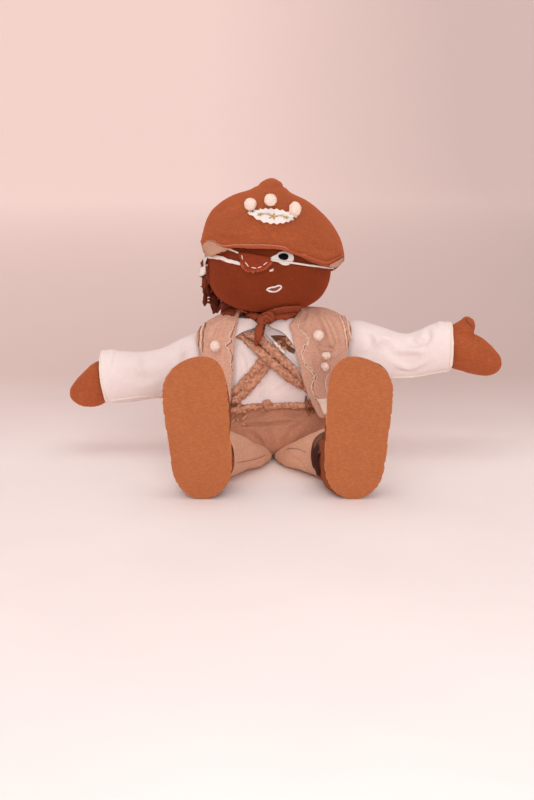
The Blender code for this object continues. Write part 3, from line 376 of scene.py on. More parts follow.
def shown_corners(piece):
    """The corners as the piece's modifiers show them."""
    shown = piece.evaluated_get(bpy.context.evaluated_depsgraph_get())
    places = read(shown.to_mesh().vertices, "co")
    shown.to_mesh_clear()
    return places


def set_corners(piece, places):
    piece.data.vertices.foreach_set("co", places.reshape(-1))
    piece.data.update()


def push(piece, amount):
    """Move the corners along their normals by one amount, or by one each."""
    normals = read(piece.data.vertices, "normal")
    set_corners(piece, corners(piece) + normals * np.asarray(amount).reshape(-1, 1))


def refined(name, node, levels=3):
    """A finer, smoother copy of a CAD node that still passes through its corners."""
    piece = object_of(name, welded(node))
    wanted = corners(piece)
    cage = wanted.copy()
    smooth = piece.modifiers.new("Smooth", "SUBSURF")
    smooth.levels = 2
    for _ in range(REFINE_ROUNDS):
        cage += (wanted - shown_corners(piece)[:len(wanted)]) * REFINE_SHARE
        set_corners(piece, cage)
    piece.modifiers.clear()
    return subdivide(piece, levels)


def crumple(piece, depth, size, seed=0.0):
    """Soft uneven folds all over a piece, of a given depth and size."""
    heights = []
    for place in corners(piece):
        spot = Vector(place / (size * MM) + seed)
        heights.append(noise.noise(spot) + 0.5 * noise.noise(spot * 2.1))
    push(piece, np.array(heights) * (depth * MM))


def pucker(piece, depth, along, across, seed=0.0):
    """Short folds across a cord, as a drawn thread gathers them."""
    places = corners(piece)
    centre = places.mean(axis=0)
    _, _, axes = np.linalg.svd(places - centre, full_matrices=False)
    along *= MM
    across *= MM
    heights = []
    for spot in (places - centre) @ axes.T:
        fold = Vector((spot[0] / along + seed, spot[1] / across, spot[2] / across))
        heights.append(noise.noise(fold) + 0.6 * noise.noise(fold * 2.3) - 0.15)
    push(piece, np.array(heights) * (depth * MM))


def tree_of(*pieces):
    """One search tree of the faces of one or more pieces."""
    places = []
    faces = []
    for piece in pieces:
        start = len(places)
        places.extend(corners(piece).tolist())
        faces.extend([start + index for index in face.vertices]
                     for face in piece.data.polygons)
    return BVHTree.FromPolygons(places, faces)


def seen_at(tree, px, py, lift=0.0):
    """The place on a surface that shows at a point of the picture, lifted off it.

    Where nothing shows there, it is the surface's place nearest to the line of sight."""
    way = sight(px, py)
    place, normal, _, _ = tree.ray_cast(CAMERA_PLACE, way)
    reach = CAMERA_DISTANCE
    for _ in range(0 if place else 4):
        near, near_normal, _, _ = tree.find_nearest(CAMERA_PLACE + way * reach)
        reach = (near - CAMERA_PLACE).dot(way)
        if reach > 0:
            place, normal = near, near_normal
    if normal.dot(way) > 0:
        normal = -normal
    return place + normal * lift


def at_depth(px, py, depth):
    """The place on the line of sight of a point of the picture at a given y."""
    way = sight(px, py)
    return CAMERA_PLACE + way * ((depth - CAMERA_PLACE.y) / way.y)


def smooth_path(knots, steps, closed=False):
    """A smooth curve through knots of any kind of numbers, read at even steps."""
    count = len(knots)
    spans = count if closed else count - 1
    fine = []
    for step in range(steps if closed else steps + 1):
        where = step / steps * spans
        index = min(int(where), spans - 1)
        part = where - index
        near = [index + shift for shift in (-1, 0, 1, 2)]
        four = [knots[spot % count if closed else max(0, min(spans, spot))] for spot in near]
        fine.append(tuple(
            0.5 * (2 * b + (c - a) * part + (2 * a - 5 * b + 4 * c - d) * part ** 2
                   + (3 * b - a - 3 * c + d) * part ** 3)
            for a, b, c, d in zip(*four)))
    return fine


def crease(piece, tree, line, width, depth):
    """Press a fold into a piece along a line of the picture; a depth below 0 raises it."""
    width *= MM
    path = np.array([seen_at(tree, px, py)[:] for px, py in smooth_path(line, FOLD_STEPS)])
    places = corners(piece)
    away = np.full(len(places), 1.0)
    along = np.zeros(len(places))
    for index in range(FOLD_STEPS):
        start = path[index]
        run = path[index + 1] - start
        share = np.clip(((places - start) @ run) / max(1e-12, run @ run), 0, 1)
        gap = np.linalg.norm(places - start - share.reshape(-1, 1) * run, axis=1)
        nearer = gap < away
        away[nearer] = gap[nearer]
        along[nearer] = (index + share[nearer]) / FOLD_STEPS
    fade = np.sin(np.pi * np.clip(along, 0.02, 0.98)) ** 0.5
    valley = np.exp(-(away / width) ** 2)
    ridge = np.exp(-((away - RIDGE_AWAY * width) / width) ** 2)
    push(piece, -(valley - RIDGE_SHARE * ridge) * (depth * MM) * fade)


def fold_all(piece, folds):
    tree = tree_of(piece)
    for line, width, depth in folds:
        crease(piece, tree, line, width, depth)


def tube(name, places, radius, roundness=2, closed=False, radii=None):
    """A round thread, cord or rolled edge through places, as a mesh with round ends."""
    curve = bpy.data.curves.new(name, "CURVE")
    curve.dimensions = "3D"
    curve.bevel_depth = radius * MM
    curve.bevel_resolution = roundness
    curve.use_fill_caps = True
    spline = curve.splines.new("POLY")
    spline.points.add(len(places) - 1)
    for index, place in enumerate(places):
        spline.points[index].co = (*place, 1.0)
        spline.points[index].radius = radii[index] if radii else 1.0
    spline.use_cyclic_u = closed
    holder = link(name, curve)
    graph = bpy.context.evaluated_depsgraph_get()
    mesh = bpy.data.meshes.new_from_object(holder.evaluated_get(graph))
    bpy.data.objects.remove(holder, do_unlink=True)
    return link(name, mesh)


def dress(piece, look, *nodes, slot=None):
    """Give a finished piece its material, smooth shading and body, and hide the nodes that it stands for; the
    slot is not used.
    """
    material, usual_slot = LOOKS[look]
    piece.data.materials.clear()
    piece.data.materials.append(material)
    piece.data.shade_smooth()
    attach(piece, "root")
    if nodes:
        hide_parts(*nodes)
    return piece


def joined(name, pieces):
    """Several meshes as one."""
    work = bmesh.new()
    for piece in pieces:
        work.from_mesh(piece.data)
        bpy.data.objects.remove(piece, do_unlink=True)
    return object_of(name, work)


SWELL_FRAMES = 16


def swell(piece, pressure, cap, held):
    """Fill a stuffed piece by a short cloth simulation; its held corners stay."""
    start = corners(piece)
    cloth_sim = piece.modifiers.new("Stuffing", "CLOTH")
    settings = cloth_sim.settings
    settings.quality = 5
    settings.mass = 0.2
    settings.tension_stiffness = 12
    settings.compression_stiffness = 12
    settings.bending_stiffness = 0.35
    settings.use_pressure = True
    settings.uniform_pressure_force = pressure
    settings.effector_weights.gravity = 0.0
    cloth_sim.collision_settings.use_collision = False
    group = piece.vertex_groups.new(name="held")
    group.add([int(index) for index in np.nonzero(held)[0]], 1.0, "REPLACE")
    settings.vertex_group_mass = group.name
    scene = bpy.context.scene
    for step in range(SWELL_FRAMES):
        scene.frame_set(step + 1)
    moved = shown_corners(piece) - start
    length = np.linalg.norm(moved, axis=1, keepdims=True)
    moved *= np.minimum(1.0, cap * MM / np.maximum(length, 1e-9))
    piece.modifiers.clear()
    piece.vertex_groups.clear()
    scene.frame_set(1)
    set_corners(piece, start + moved)


# The stage

FLOOR_RINGS = (0.15, 0.5, 1.2, 2.3)
SWEEP_RADIUS = 0.8
BACKDROP_TOP = 3.2
STAGE_COLUMNS = 48
SWEEP_STEPS = 12
# How strongly the backdrop glows: painted light, as it is no lamp
WALL_GLOW = 0.5
WORLD_COLOUR = (0.95, 0.87, 0.845, 1.0)
WORLD_STRENGTH = 0.33
# Each lamp's name, place, aim, size, power and colour
LAMPS = (
    ("key_light", (-0.35, -1.5, 1.1), (0.0, 0.0, 0.08), (1.5, 1.1), 7.4, (0.95, 0.92, 0.895)),
    ("top_light", (0.0, 0.05, 1.5), (0.0, -0.05, 0.0), (1.7, 1.4), 9.0, (0.95, 0.925, 0.91)),
    ("fill_light", (0.2, -1.35, 0.34), (0.0, 0.0, 0.09), (0.5, 0.4), 5.3, (0.95, 0.92, 0.90)),
)


def make_stage():
    """A pale floor with a round wall, which rises from it in one curve all round the doll."""
    floor_edge = FLOOR_RINGS[-1]
    profile = [(reach, 0.0) for reach in FLOOR_RINGS]
    for step in range(1, SWEEP_STEPS + 1):
        angle = math.pi / 2 * step / SWEEP_STEPS
        profile.append((floor_edge + SWEEP_RADIUS * math.sin(angle),
                        SWEEP_RADIUS * (1 - math.cos(angle))))
    profile.append((floor_edge + SWEEP_RADIUS, BACKDROP_TOP))
    turns = [2 * math.pi * column / STAGE_COLUMNS for column in range(STAGE_COLUMNS)]
    work = bmesh.new()
    middle = work.verts.new((0.0, 0.0, 0.0))
    rings = [[work.verts.new((reach * math.cos(turn), reach * math.sin(turn), height))
              for turn in turns] for reach, height in profile]
    for column in range(STAGE_COLUMNS):
        work.faces.new((middle, rings[0][column], rings[0][(column + 1) % STAGE_COLUMNS]))
    bridge(work, rings[::-1], True)
    backdrop = object_of("backdrop", work)
    backdrop.data.shade_smooth()
    nodes = Nodes("backdrop_cloth")
    tone = nodes.blend(nodes.ramp(nodes.cloudy(5.0), 0.3, 0.7), shade(STAGE, 0.97),
                       shade(STAGE, 1.02))
    where = nodes.add("ShaderNodeSeparateXYZ", {0: nodes.place})
    wall = nodes.ramp(where.outputs[1], -0.04, 0.3)
    tone = nodes.blend(wall, tone, linear(WALL))
    # Painted shade: the wall darker towards the right
    aside = nodes.maths("MULTIPLY", wall, nodes.ramp(where.outputs[0], -0.15, 0.5))
    tone = nodes.blend(nodes.maths("MULTIPLY", aside, 0.6), tone, shade(WALL, 0.6))
    # Painted light: the backdrop glows, most behind the doll and far from it
    reach = nodes.add("ShaderNodeVectorMath", {0: nodes.place}, operation="LENGTH").outputs[1]
    behind = nodes.ramp(where.outputs[1], -1.2, 0.6)
    glow = nodes.maths("MULTIPLY", behind, nodes.ramp(reach, 0.3, 2.0))
    material = nodes.finish(Base_Color=tone, Emission_Color=tone, Roughness=0.95,
                            Emission_Strength=nodes.maths("MULTIPLY", glow, WALL_GLOW))
    backdrop.data.materials.append(material)


def area_light(name, place, aim, size, power, colour):
    data = bpy.data.lights.new(name, "AREA")
    data.shape = "RECTANGLE"
    data.size, data.size_y = size
    data.energy = power
    data.color = colour
    turn = (Vector(aim) - Vector(place)).to_track_quat("-Z", "Y")
    link(name, data, place, turn).visible_camera = False


def make_light():
    for lamp in LAMPS:
        area_light(*lamp)
    world = bpy.data.worlds.new("soft_light")
    world.use_nodes = True
    background = world.node_tree.nodes["Background"]
    background.inputs["Color"].default_value = WORLD_COLOUR
    background.inputs["Strength"].default_value = WORLD_STRENGTH
    bpy.context.scene.world = world
    bpy.context.scene.view_settings.view_transform = "Standard"


# Laying things on surfaces along the picture's lines

STRIP_COLUMNS = 4
RINGS = (1.0, 0.92, 0.82, 0.7, 0.57, 0.43, 0.29, 0.15)


def jitter(reach):
    """A random step of up to a reach either way."""
    return reach * (2 * RANDOM.random() - 1)


def shaken(line, steps, reach):
    """A line of the picture with small uneven bends, as hand stitching has."""
    return [(px + jitter(reach), py + jitter(reach)) for px, py in smooth_path(line, steps)]


def shifted(line, right, down=0.0):
    """A line of the picture moved by so many pixels."""
    return [(px + right, py + down) for px, py in line]


def thread(name, tree, line, radius, lift=0.0, steps=24, ends=0.5, wobble=0.0):
    """A thread or cord laid on a surface; it thins towards its ends."""
    rise = lift * MM + radius * MM * 0.5
    places = [seen_at(tree, px, py, rise) for px, py in smooth_path(line, steps)]
    radii = []
    for step in range(steps + 1):
        share = step / steps
        taper = min(1.0, ends + (1 - ends) * 6 * min(share, 1 - share))
        radii.append(taper * (1 + jitter(wobble)))
    return tube(name, places, radius, radii=radii)


def sew(tree, look, name, *values, slot=None):
    """Lay a thread on a surface and finish it; the values are those of thread."""
    dress(thread(name, tree, *values), look, slot=slot)


def flat_strip(name, tree, line, widths, lift, thickness, steps, ripple):
    """A flat strip of cloth laid along a line of the picture, with slightly wavy edges."""
    middle = smooth_path([(*knot, width) for knot, width in zip(line, widths)], steps)
    rows = []
    for index, (px, py, width) in enumerate(middle):
        before = middle[max(0, index - 1)]
        after = middle[min(steps, index + 1)]
        run = Vector((after[0] - before[0], after[1] - before[1])).normalized()
        wave = 1 + jitter(ripple)
        row = []
        for column in range(STRIP_COLUMNS + 1):
            share = 2 * column / STRIP_COLUMNS - 1
            bulge = lift * MM + jitter(ripple * MM) * 0.6
            aside = share * width / 2 * wave
            row.append(seen_at(tree, px - run.y * aside, py + run.x * aside, bulge))
        rows.append(row)
    work = bmesh.new()
    bridge(work, [[work.verts.new(place) for place in row] for row in rows])
    return thickened(name, work, thickness)


def thickened(name, work, thickness):
    """A sheet given its thickness, half to each side."""
    piece = object_of(name, work)
    solid = piece.modifiers.new("Thickness", "SOLIDIFY")
    solid.thickness = thickness * MM
    solid.offset = 0.0
    return settle(piece)


def bowl_terms(x, y):
    """The terms of a surface that bends evenly, for even_sheet."""
    return (1.0, x, y, x * x, x * y, y * y)


def even_sheet(tree, outline):
    """A smooth sheet over a surface, as the place along each line of sight near an outline."""
    rows = []
    reaches = []
    middle = np.mean(outline, axis=0)
    for share in RINGS:
        for point in outline:
            px, py = middle + (np.array(point) - middle) * share
            place, _, _, _ = tree.ray_cast(CAMERA_PLACE, sight(px, py))
            if place:
                rows.append(bowl_terms(px - middle[0], py - middle[1]))
                reaches.append((place - CAMERA_PLACE).length)
    terms = np.array(rows)
    weights = np.linalg.lstsq(terms, np.array(reaches), rcond=None)[0]
    spare = np.max(terms @ weights - np.array(reaches))
    return lambda px, py, rise: CAMERA_PLACE + sight(px, py) * float(
        np.dot(bowl_terms(px - middle[0], py - middle[1]), weights) - spare - rise)


def patch(name, tree, outline, lift, thickness, bulge=0.0, ripple=0.0, even=False):
    """A thin patch whose outline is given in the picture, laid on a surface.

    An even patch is one smooth sheet over it instead of following each of its folds."""
    on_sheet = even_sheet(tree, outline) if even else partial(seen_at, tree)
    middle_x = sum(point[0] for point in outline) / len(outline)
    middle_y = sum(point[1] for point in outline) / len(outline)
    work = bmesh.new()
    rings = []
    for share in RINGS:
        ring = []
        for px, py in outline:
            rise = lift * MM + bulge * MM * (1 - share) + jitter(ripple * MM)
            ring.append(work.verts.new(on_sheet(middle_x + (px - middle_x) * share,
                                                middle_y + (py - middle_y) * share, rise)))
        rings.append(ring)
    centre = work.verts.new(on_sheet(middle_x, middle_y, lift * MM))
    bridge(work, rings, True)
    for first, second in zip(rings[-1], rings[-1][1:] + rings[-1][:1]):
        work.faces.new((first, second, centre))
    return thickened(name, work, thickness)


def ball(name, place, radius):
    """A small lump of cloth."""
    work = bmesh.new()
    bmesh.ops.create_icosphere(work, subdivisions=2, radius=radius * MM)
    for corner in work.verts:
        corner.co *= 1 + 0.25 * noise.noise(corner.co * 600 + Vector(place) * 900)
        corner.co += Vector(place)
    return object_of(name, work)


# Stuffed pieces and the cloths on them. Each fold has its line, width and depth

NECK_HOLD_HEIGHT = 130 * MM
HAND_HOLD = 118 * MM
THUMB_HEIGHT = 13 * MM
THUMB_RUN = 7 * MM
THUMB_BACK = 2.6 * MM
THUMB_UP = 1.6 * MM
THUMB_WEB_BACK = 5.0 * MM
THUMB_WEB = ((453.6, 329.4), (457.6, 327.2), (461.6, 324.8), (465.6, 322.6), (469.6, 322))
# A dark thread sunk in the thumb's crease: painted shade
THUMB_CREASE_SHADE = ((466.4, 319.4), (468.8, 323.4), (472.4, 327))
# Each cuff's edge is shifted along x: by how much at its top and at its bottom
CUFF_SHIFT = {"left": (1.6 * MM, 7.2 * MM), "right": (-3.4 * MM, -3.8 * MM)}
CUFF_RUN = 20 * MM
# The upper part of each shoe is tucked in behind its sole
SHOE_TUCK = {"left": 2.0 * MM, "right": 4.6 * MM}
SHOE_TUCK_START = 36 * MM
SHOE_TUCK_RUN = 30 * MM
SHOE_TUCK_DOWN = 2.4 * MM
SLEEVE_FOLDS = (
    (((362.8, 358.6), (375.8, 348.8), (385.6, 344.5), (388.8, 351)), 3.5, 4),
    (((411, 342.5), (416, 344.5), (423, 343)), 3.5, 4.8),
    (((394.2, 355.3), (405, 357.5), (420.3, 356.4)), 3.5, 3.5),
    (((398.6, 365.5), (410.5, 367.5), (422.4, 362)), 3.2, -2.4),
    (((367, 335.5), (370.4, 341.2), (369.3, 346)), 3.2, 3.1),
    (((427, 331), (428, 338), (424, 342)), 3, 4.2),
    (((112, 356), (110.5, 375), (113, 396)), 1.6, 1.1),
    (((150, 352), (146, 362), (150, 372)), 4.6, 2.1),
    (((128, 372), (140, 378), (158, 376)), 4.3, 2.1),
    (((184, 343), (188, 352), (186, 362)), 4.1, 2.4),
)
CHEST_FOLDS = (
    (((240, 352), (244, 366), (243, 384)), 3.1, 2.2),
    (((276, 392), (288, 386), (300, 389)), 2.9, 2.2),
    (((261.5, 387), (261, 394), (261, 401)), 1.2, 2.2),
    (((246, 376), (252, 384), (255, 396)), 2.9, -1.5),
)
SHORTS_FOLDS = (
    (((243, 425.2), (262, 424.4), (291, 421.8)), 1.6, 3.3),
    (((243, 422.2), (262, 421.2), (291, 418.6)), 1.3, -2.2),
    (((284, 412), (292, 416), (302, 416)), 1.7, 2.2),
    (((250, 416), (262, 413), (268, 409)), 1.9, 2.2),
    (((266, 428), (270, 440), (272, 452)), 2.9, 2.1),
    (((250, 432), (258, 440), (264, 446)), 2.6, 2.1),
    (((300, 424), (292, 432), (284, 444)), 2.9, 1.8),
)
HAT_FOLDS = (
    (((255, 181), (262, 188), (284, 186), (291, 180)), 2.2, 0.8),
    (((215, 236), (232, 240), (250, 240)), 2.4, 0.9),
    (((214, 231), (228, 234), (244, 233)), 1.8, -0.6),
    (((300, 236), (318, 247), (334, 252)), 2.6, 1.2),
    (((306, 228), (322, 236), (336, 246)), 2.6, -0.8),
    (((248, 228), (262, 231), (280, 230)), 2.4, 0.6),
    (((218, 214), (226, 208), (238, 205)), 2.4, 0.8),
)
VEST_FOLDS = (
    (((326, 312), (333, 326), (339, 346)), 2.8, 3.2),
    (((318, 312), (327, 330), (333, 348)), 2.5, -2),
    (((306, 312), (303, 324), (309, 338)), 1.8, 1.6),
    (((312, 318), (313, 332), (318, 350)), 1.8, -1.1),
    (((317, 347), (326, 350), (336, 349)), 2.8, 4.0),
    (((313, 352), (316, 366), (318, 380)), 1.8, 1.6),
    (((222, 322), (218, 330), (214, 342)), 2.1, 2),
    (((213, 324), (209, 334), (207, 346)), 2.1, -1.3),
    (((230, 352), (231, 362), (229, 372)), 1.4, 1.1),
)
LEG_FOLDS = {
    "left": ((((240, 462), (252, 459.5), (264, 455.6)), 0.8, 0.7),
             (((244, 448), (254, 447), (262, 450)), 2.2, 0.6)),
    "right": ((((287, 449), (296, 448.6), (305, 452)), 0.8, 0.8),
              (((290, 458), (300, 462), (306, 472)), 2.0, 0.8)),
}


def slant_cuff(piece, side):
    """Shift what lies at a cuff, so that the sleeve's end and the hand in it keep together."""
    low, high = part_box("hand_" + side)
    edge = high[0] if side == "left" else low[0]
    top, bottom = CUFF_SHIFT[side]
    places = corners(piece)
    near = np.exp(-((places[:, 0] - edge) / CUFF_RUN) ** 2)
    down = np.clip((high[2] - places[:, 2]) / (high[2] - low[2]), 0, 1)
    places[:, 0] += near * (top + (bottom - top) * down)
    set_corners(piece, places)


def make_head():
    head = refined("head_cloth", "head")
    swell(head, 3.0, 1.2, corners(head)[:, 2] < NECK_HOLD_HEIGHT)
    crumple(head, 0.35, 22, 3.1)
    # The face look carries painted shade from the hat's brim
    return dress(head, "face", "head")


def make_shirt():
    shirt = refined("shirt_cloth", "shirt")
    crumple(shirt, 0.9, 26, 1.3)
    for side in SIDES:
        slant_cuff(shirt, side)
    fold_all(shirt, SLEEVE_FOLDS + CHEST_FOLDS)
    crumple(shirt, 0.25, 7, 5.3)
    return dress(shirt, "shirt", "shirt")


def make_thumb(hand):
    """Draw the thumb's tip up and back, and lay the web and a dark thread at its root, as painted shade in the
    crease.
    """
    places = corners(hand)
    above = np.clip((places[:, 2] - places[:, 2].max() + THUMB_HEIGHT) / THUMB_RUN, 0, 1)
    places[:, 0] -= THUMB_BACK * above
    places[:, 2] += THUMB_UP * above
    set_corners(hand, places)
    depth = seen_at(tree_of(hand), *THUMB_WEB[-2]).y + THUMB_WEB_BACK
    web = tube("thumb_web", [at_depth(px, py, depth) for px, py in smooth_path(THUMB_WEB, 20)],
               4.2, 4)
    dress(web, "hand")
    sew(tree_of(hand, web), "lips", "thumb_crease_shade", THUMB_CREASE_SHADE, 0.7, -0.3, 16, 0.4)


def make_hand(side):
    hand = refined("hand_%s_cloth" % side, "hand_" + side)
    swell(hand, 2.5, 0.8, np.abs(corners(hand)[:, 0]) < HAND_HOLD)
    crumple(hand, 0.5, 14, 4.4)
    slant_cuff(hand, side)
    if side == "right":
        make_thumb(hand)
    return dress(hand, "hand", "hand_" + side)


def make_shoe(side):
    shoe = refined("shoe_%s_cloth" % side, "shoe_" + side)
    places = corners(shoe)
    above = np.clip((places[:, 2] - SHOE_TUCK_START) / SHOE_TUCK_RUN, 0, 1)
    places[:, 0] += SHOE_TUCK[side] * above
    places[:, 2] -= SHOE_TUCK_DOWN * above ** 2
    set_corners(shoe, places)
    crumple(shoe, 0.6, 16, 2.2)
    return dress(shoe, "shoe", "shoe_" + side)


def make_soft(node, look, folds, first, second=None, levels=3):
    """A cloth piece with crumples of a given depth, size and seed, and with pressed folds."""
    piece = refined(node + "_cloth", node, levels)
    crumple(piece, *first)
    fold_all(piece, folds)
    if second:
        crumple(piece, *second)
    return dress(piece, look, node)


# The hat's trim

HEM_FOLD = ((207, 240.7), (214, 240.7), (223, 245.4), (236, 244.8), (252, 244.6), (270, 245),
            (283.7, 246.9), (291, 250.9), (305, 255), (318, 260.7), (328, 262.2), (341, 255.2))
HEM_ROLL = ((224, 246.5), (238, 245.8), (253.6, 246.4), (276, 247.2), (286, 249.6), (305, 256.2),
            (324, 262.6), (333, 259.5), (341, 255.8))
LINING_LEFT = ((203, 246), (208, 241.2), (214, 242), (222, 246.4), (232, 248.3), (240, 248),
               (233, 252), (222, 254.6), (212, 257), (204.5, 257), (201, 252))
LINING_RIGHT = ((329, 265), (335, 261.6), (342, 257.6), (341, 263), (335, 267.4), (330.5, 268))
PATCH_TOP = [(247.5, 212.6), (259, 209.6), (271, 208.9), (284, 211), (297.5, 216)]
PATCH_BOTTOM = [(297.5, 216), (290, 221), (277, 223.6), (262, 221.4), (247.5, 212.6)]
PATCH_TEETH = 18
TOOTH_OUT = 1.0
TOOTH_IN = 0.7
# The middle and the size of each star on the patch
STARS = ((260, 214.6, 2.5), (273, 216.6, 4.2), (286, 217.4, 2.5))
STAR_STEPS = 20


def make_hat_details(hat):
    tree = tree_of(hat)
    sew(tree, "hem", "hat_hem_fold", HEM_FOLD, 0.55, 1.2, 60, 0.5, 0.15)
    sew(tree, "roll", "hat_hem_roll", HEM_ROLL, 1.5, 0.6, 60, 0.5, 0.12)
    for side, outline in (("left", LINING_LEFT), ("right", LINING_RIGHT)):
        flap = smooth_path(outline, 36, True)
        dress(patch("hat_lining_" + side, tree, flap, 0.8, 0.6, 0.3), "lining")


def make_hat_patch(hat):
    outline = []
    for edge, out in ((PATCH_TOP, -1), (PATCH_BOTTOM, 1)):
        for index, (px, py) in enumerate(smooth_path(edge, PATCH_TEETH)[:-1]):
            outline.append((px, py + out * (TOOTH_OUT if index % 2 else -TOOTH_IN)))
    ribbon = patch("hat_patch_cloth", tree_of(hat), outline, 1.5, 0.8, even=True)
    dress(ribbon, "white", "hat_patch")
    tree = tree_of(ribbon)
    for number, (px, py, size) in enumerate(STARS):
        rays = []
        for step in range(STAR_STEPS):
            turn = 2 * math.pi * step / STAR_STEPS
            reach = size * (0.7 + 0.35 * math.cos(5 * turn))
            rays.append((px + 1.25 * reach * math.cos(turn), py + 0.8 * reach * math.sin(turn)))
        dress(patch("hat_motif_%d" % (number + 1), tree, rays, 0.3, 0.2), "gold")


def make_bead(node, seed, depth):
    bead = refined(node + "_bead", node)
    crumple(bead, depth, 3.4, seed)
    dress(bead, "bead", node)


# The face and the hair

EYE_PATCH = ((240, 253.6), (250.5, 254.3), (260, 256), (266.8, 257.3), (271.4, 259.2), (271, 262.4),
             (268.6, 265.8), (264.6, 268.8), (258.6, 270.8), (252, 271.2), (246.6, 270),
             (243.4, 265.4), (240.8, 259.6))
EYE_PATCH_TORN = 261
EYE_PATCH_ROLLED = 262.5
EYE_PATCH_STITCHES = (
    ((242, 255.4), (242.6, 259.4)), ((245.4, 262.2), (248.6, 266.6)),
    ((251.6, 267.4), (256.4, 268.2)), ((257.8, 267.9), (261.6, 266.5)),
    ((263.4, 265.1), (267.2, 262.2)))
EYE_PATCH_LIFT = 3.2
EYE_RING = ((269.2, 259.6), (272.4, 256.6), (276.6, 254.6), (279, 252.6), (284, 251.8), (289, 252.8),
            (292.6, 256), (293, 259.8), (290.8, 262.6), (288.4, 264.8), (284, 265.4), (280.4, 264),
            (276.8, 261.6), (272.6, 261.6))
EYE = ((278.6, 255.8), (280.8, 254), (284.2, 253.6), (287.2, 254.6), (288.2, 257), (287, 259.2),
       (284.2, 260), (280.8, 259.2), (278.8, 257.8))
NOSE = ((((269.4, 271), (271.6, 269.8), (273.6, 269)), 0.6), (((270, 271.4), (273.4, 270.4)), 0.4))
LIPS = ((266.9, 289.2), (271, 287.4), (275, 286.8), (279, 285.4), (281.4, 287.2), (277.2, 290.8),
        (273, 291.6), (268.6, 290.6))
MOUTH_LIFT = 0.6 * MM
TAPE_LEFT = ((207.5, 256.8), (216, 257.4), (222.5, 258.2), (228, 260.6), (234, 262), (241, 264))
TAPE_LEFT_WIDTHS = (2.6, 3.6, 3.8, 3.4, 3.6, 3.0)
TAPE_RIGHT = ((270.6, 259.8), (278, 261.4), (285, 262), (300, 264.2), (316, 266.4), (330.6, 268.4))
TAPE_END = ((208.8, 257.4), (206.4, 265), (204, 271), (202, 277.6))
TAPE_END_WIDTHS = (3.4, 3.2, 3.4, 2.6)
TAPE_STRAND = ((228, 249.6), (234, 251.2), (240.6, 254.2))
NAPE_HAIR = (
    (((216, 299), (221, 306), (228, 311), (235, 314.4)), (6, 8, 8, 5)),
    (((219, 303), (222, 309), (226, 314)), (5, 7, 5)),
)
STRANDS = (
    (((205.4, 262), (204.8, 270), (204, 278), (203.6, 288)), (5, 6.4, 7.6, 5)),
    (((207.4, 266), (207, 276), (207.6, 287), (209.6, 296)), (3.4, 4, 4.6, 4)),
    (((211, 290), (212.4, 297), (214.6, 304), (216, 312)), (4, 5, 6, 4)),
    (((219, 302), (220.6, 308), (223.4, 313.6), (224.4, 319)), (5, 6.4, 6.4, 4)),
)


def make_hair(head):
    locks = []
    for number, node in enumerate(sorted(name for name in NODES if name.startswith("hair_lock"))):
        lock = refined(node + "_cloth", node)
        crumple(lock, 0.9, 7, 2.3 * number)
        crumple(lock, 0.4, 3, 1.7 * number)
        locks.append(dress(lock, "hair", node))
    tree = tree_of(head, *locks)
    strips = [flat_strip("strand", tree, line, widths, 1.0, 2.4, 18, 0.3)
              for line, widths in STRANDS]
    dress(joined("hair_strands", strips), "hair")
    return locks


def make_eye_patch(tree):
    rough = []
    for px, py in smooth_path(EYE_PATCH, 52, True):
        torn = 0.5 if py > EYE_PATCH_TORN else 0.1
        rough.append((px + jitter(torn), py + jitter(torn)))
    cover = patch("eye_patch_cloth", tree, rough, EYE_PATCH_LIFT, 1.2, 0.9, 0.12)
    dress(cover, "patch", "eye_patch")
    cover_tree = tree_of(cover)
    stitches = [thread("stitch", cover_tree, line, 0.42, 0.15, 6) for line in EYE_PATCH_STITCHES]
    # The torn lower edge's lumps are lighter than the patch: real lumps, their lightness painted highlight
    lumps = [ball("lump", seen_at(tree, px, py, EYE_PATCH_LIFT * MM), 0.7 + RANDOM.random())
             for px, py in rough if py > EYE_PATCH_ROLLED]
    dress(joined("eye_patch_edge", lumps), "roll")
    dress(joined("eye_patch_stitches", stitches), "white")
    return cover


def make_face(head, locks):
    tree = tree_of(head)
    cover = make_eye_patch(tree)
    ring = patch("eye_ring_cloth", tree, smooth_path(EYE_RING, 44, True), 1.6, 0.9, 0.3, 0.06)
    dress(ring, "white", "eye_ring")
    eye = smooth_path(EYE, 28, True)
    dress(patch("eye_thread", tree_of(ring), eye, 0.5, 0.8, 0.8), "eye", "eye")
    nose = [thread("nose", tree, line, radius, 0.2, 8, 0.6) for line, radius in NOSE]
    dress(joined("nose_thread", nose), "white", "nose_stitch")
    lips = smooth_path(LIPS, 32, True)
    dress(patch("mouth_middle", tree, lips, 0.3, 0.2), "lips", slot="face_cloth")
    places = [seen_at(tree, px, py, MOUTH_LIFT) for px, py in lips]
    radii = [0.8 + 0.4 * RANDOM.random() for _ in places]
    dress(tube("mouth_thread", places, 0.7, 2, True, radii), "white", "mouth")
    both = tree_of(head, cover)
    tapes = [flat_strip("string", tree, TAPE_LEFT, TAPE_LEFT_WIDTHS, 1.3, 0.8, 30, 0.12),
             thread("string", both, TAPE_RIGHT, 0.95, 2.3, 40, 0.7, 0.08),
             flat_strip("string", tree_of(head, *locks), TAPE_END, TAPE_END_WIDTHS, 3.4, 0.8, 16,
                        0.12)]
    dress(joined("eye_patch_string_tape", tapes), "white", "eye_patch_string")
    sew(tree, "white", "eye_patch_strand", TAPE_STRAND, 0.8, 1.8, 12, 0.6)


# The vest's trim

RIGHT_TRIM = ((297.5, 322), (299, 327), (302.9, 333.2), (306.8, 338), (307.9, 342.3),
              (303.6, 347), (302, 352), (301.6, 358), (305.4, 366), (308.5, 369.6),
              (312.6, 373), (314.5, 378.8), (311.6, 384), (311.4, 389), (313.7, 396.2),
              (317, 400), (320.3, 402.4))
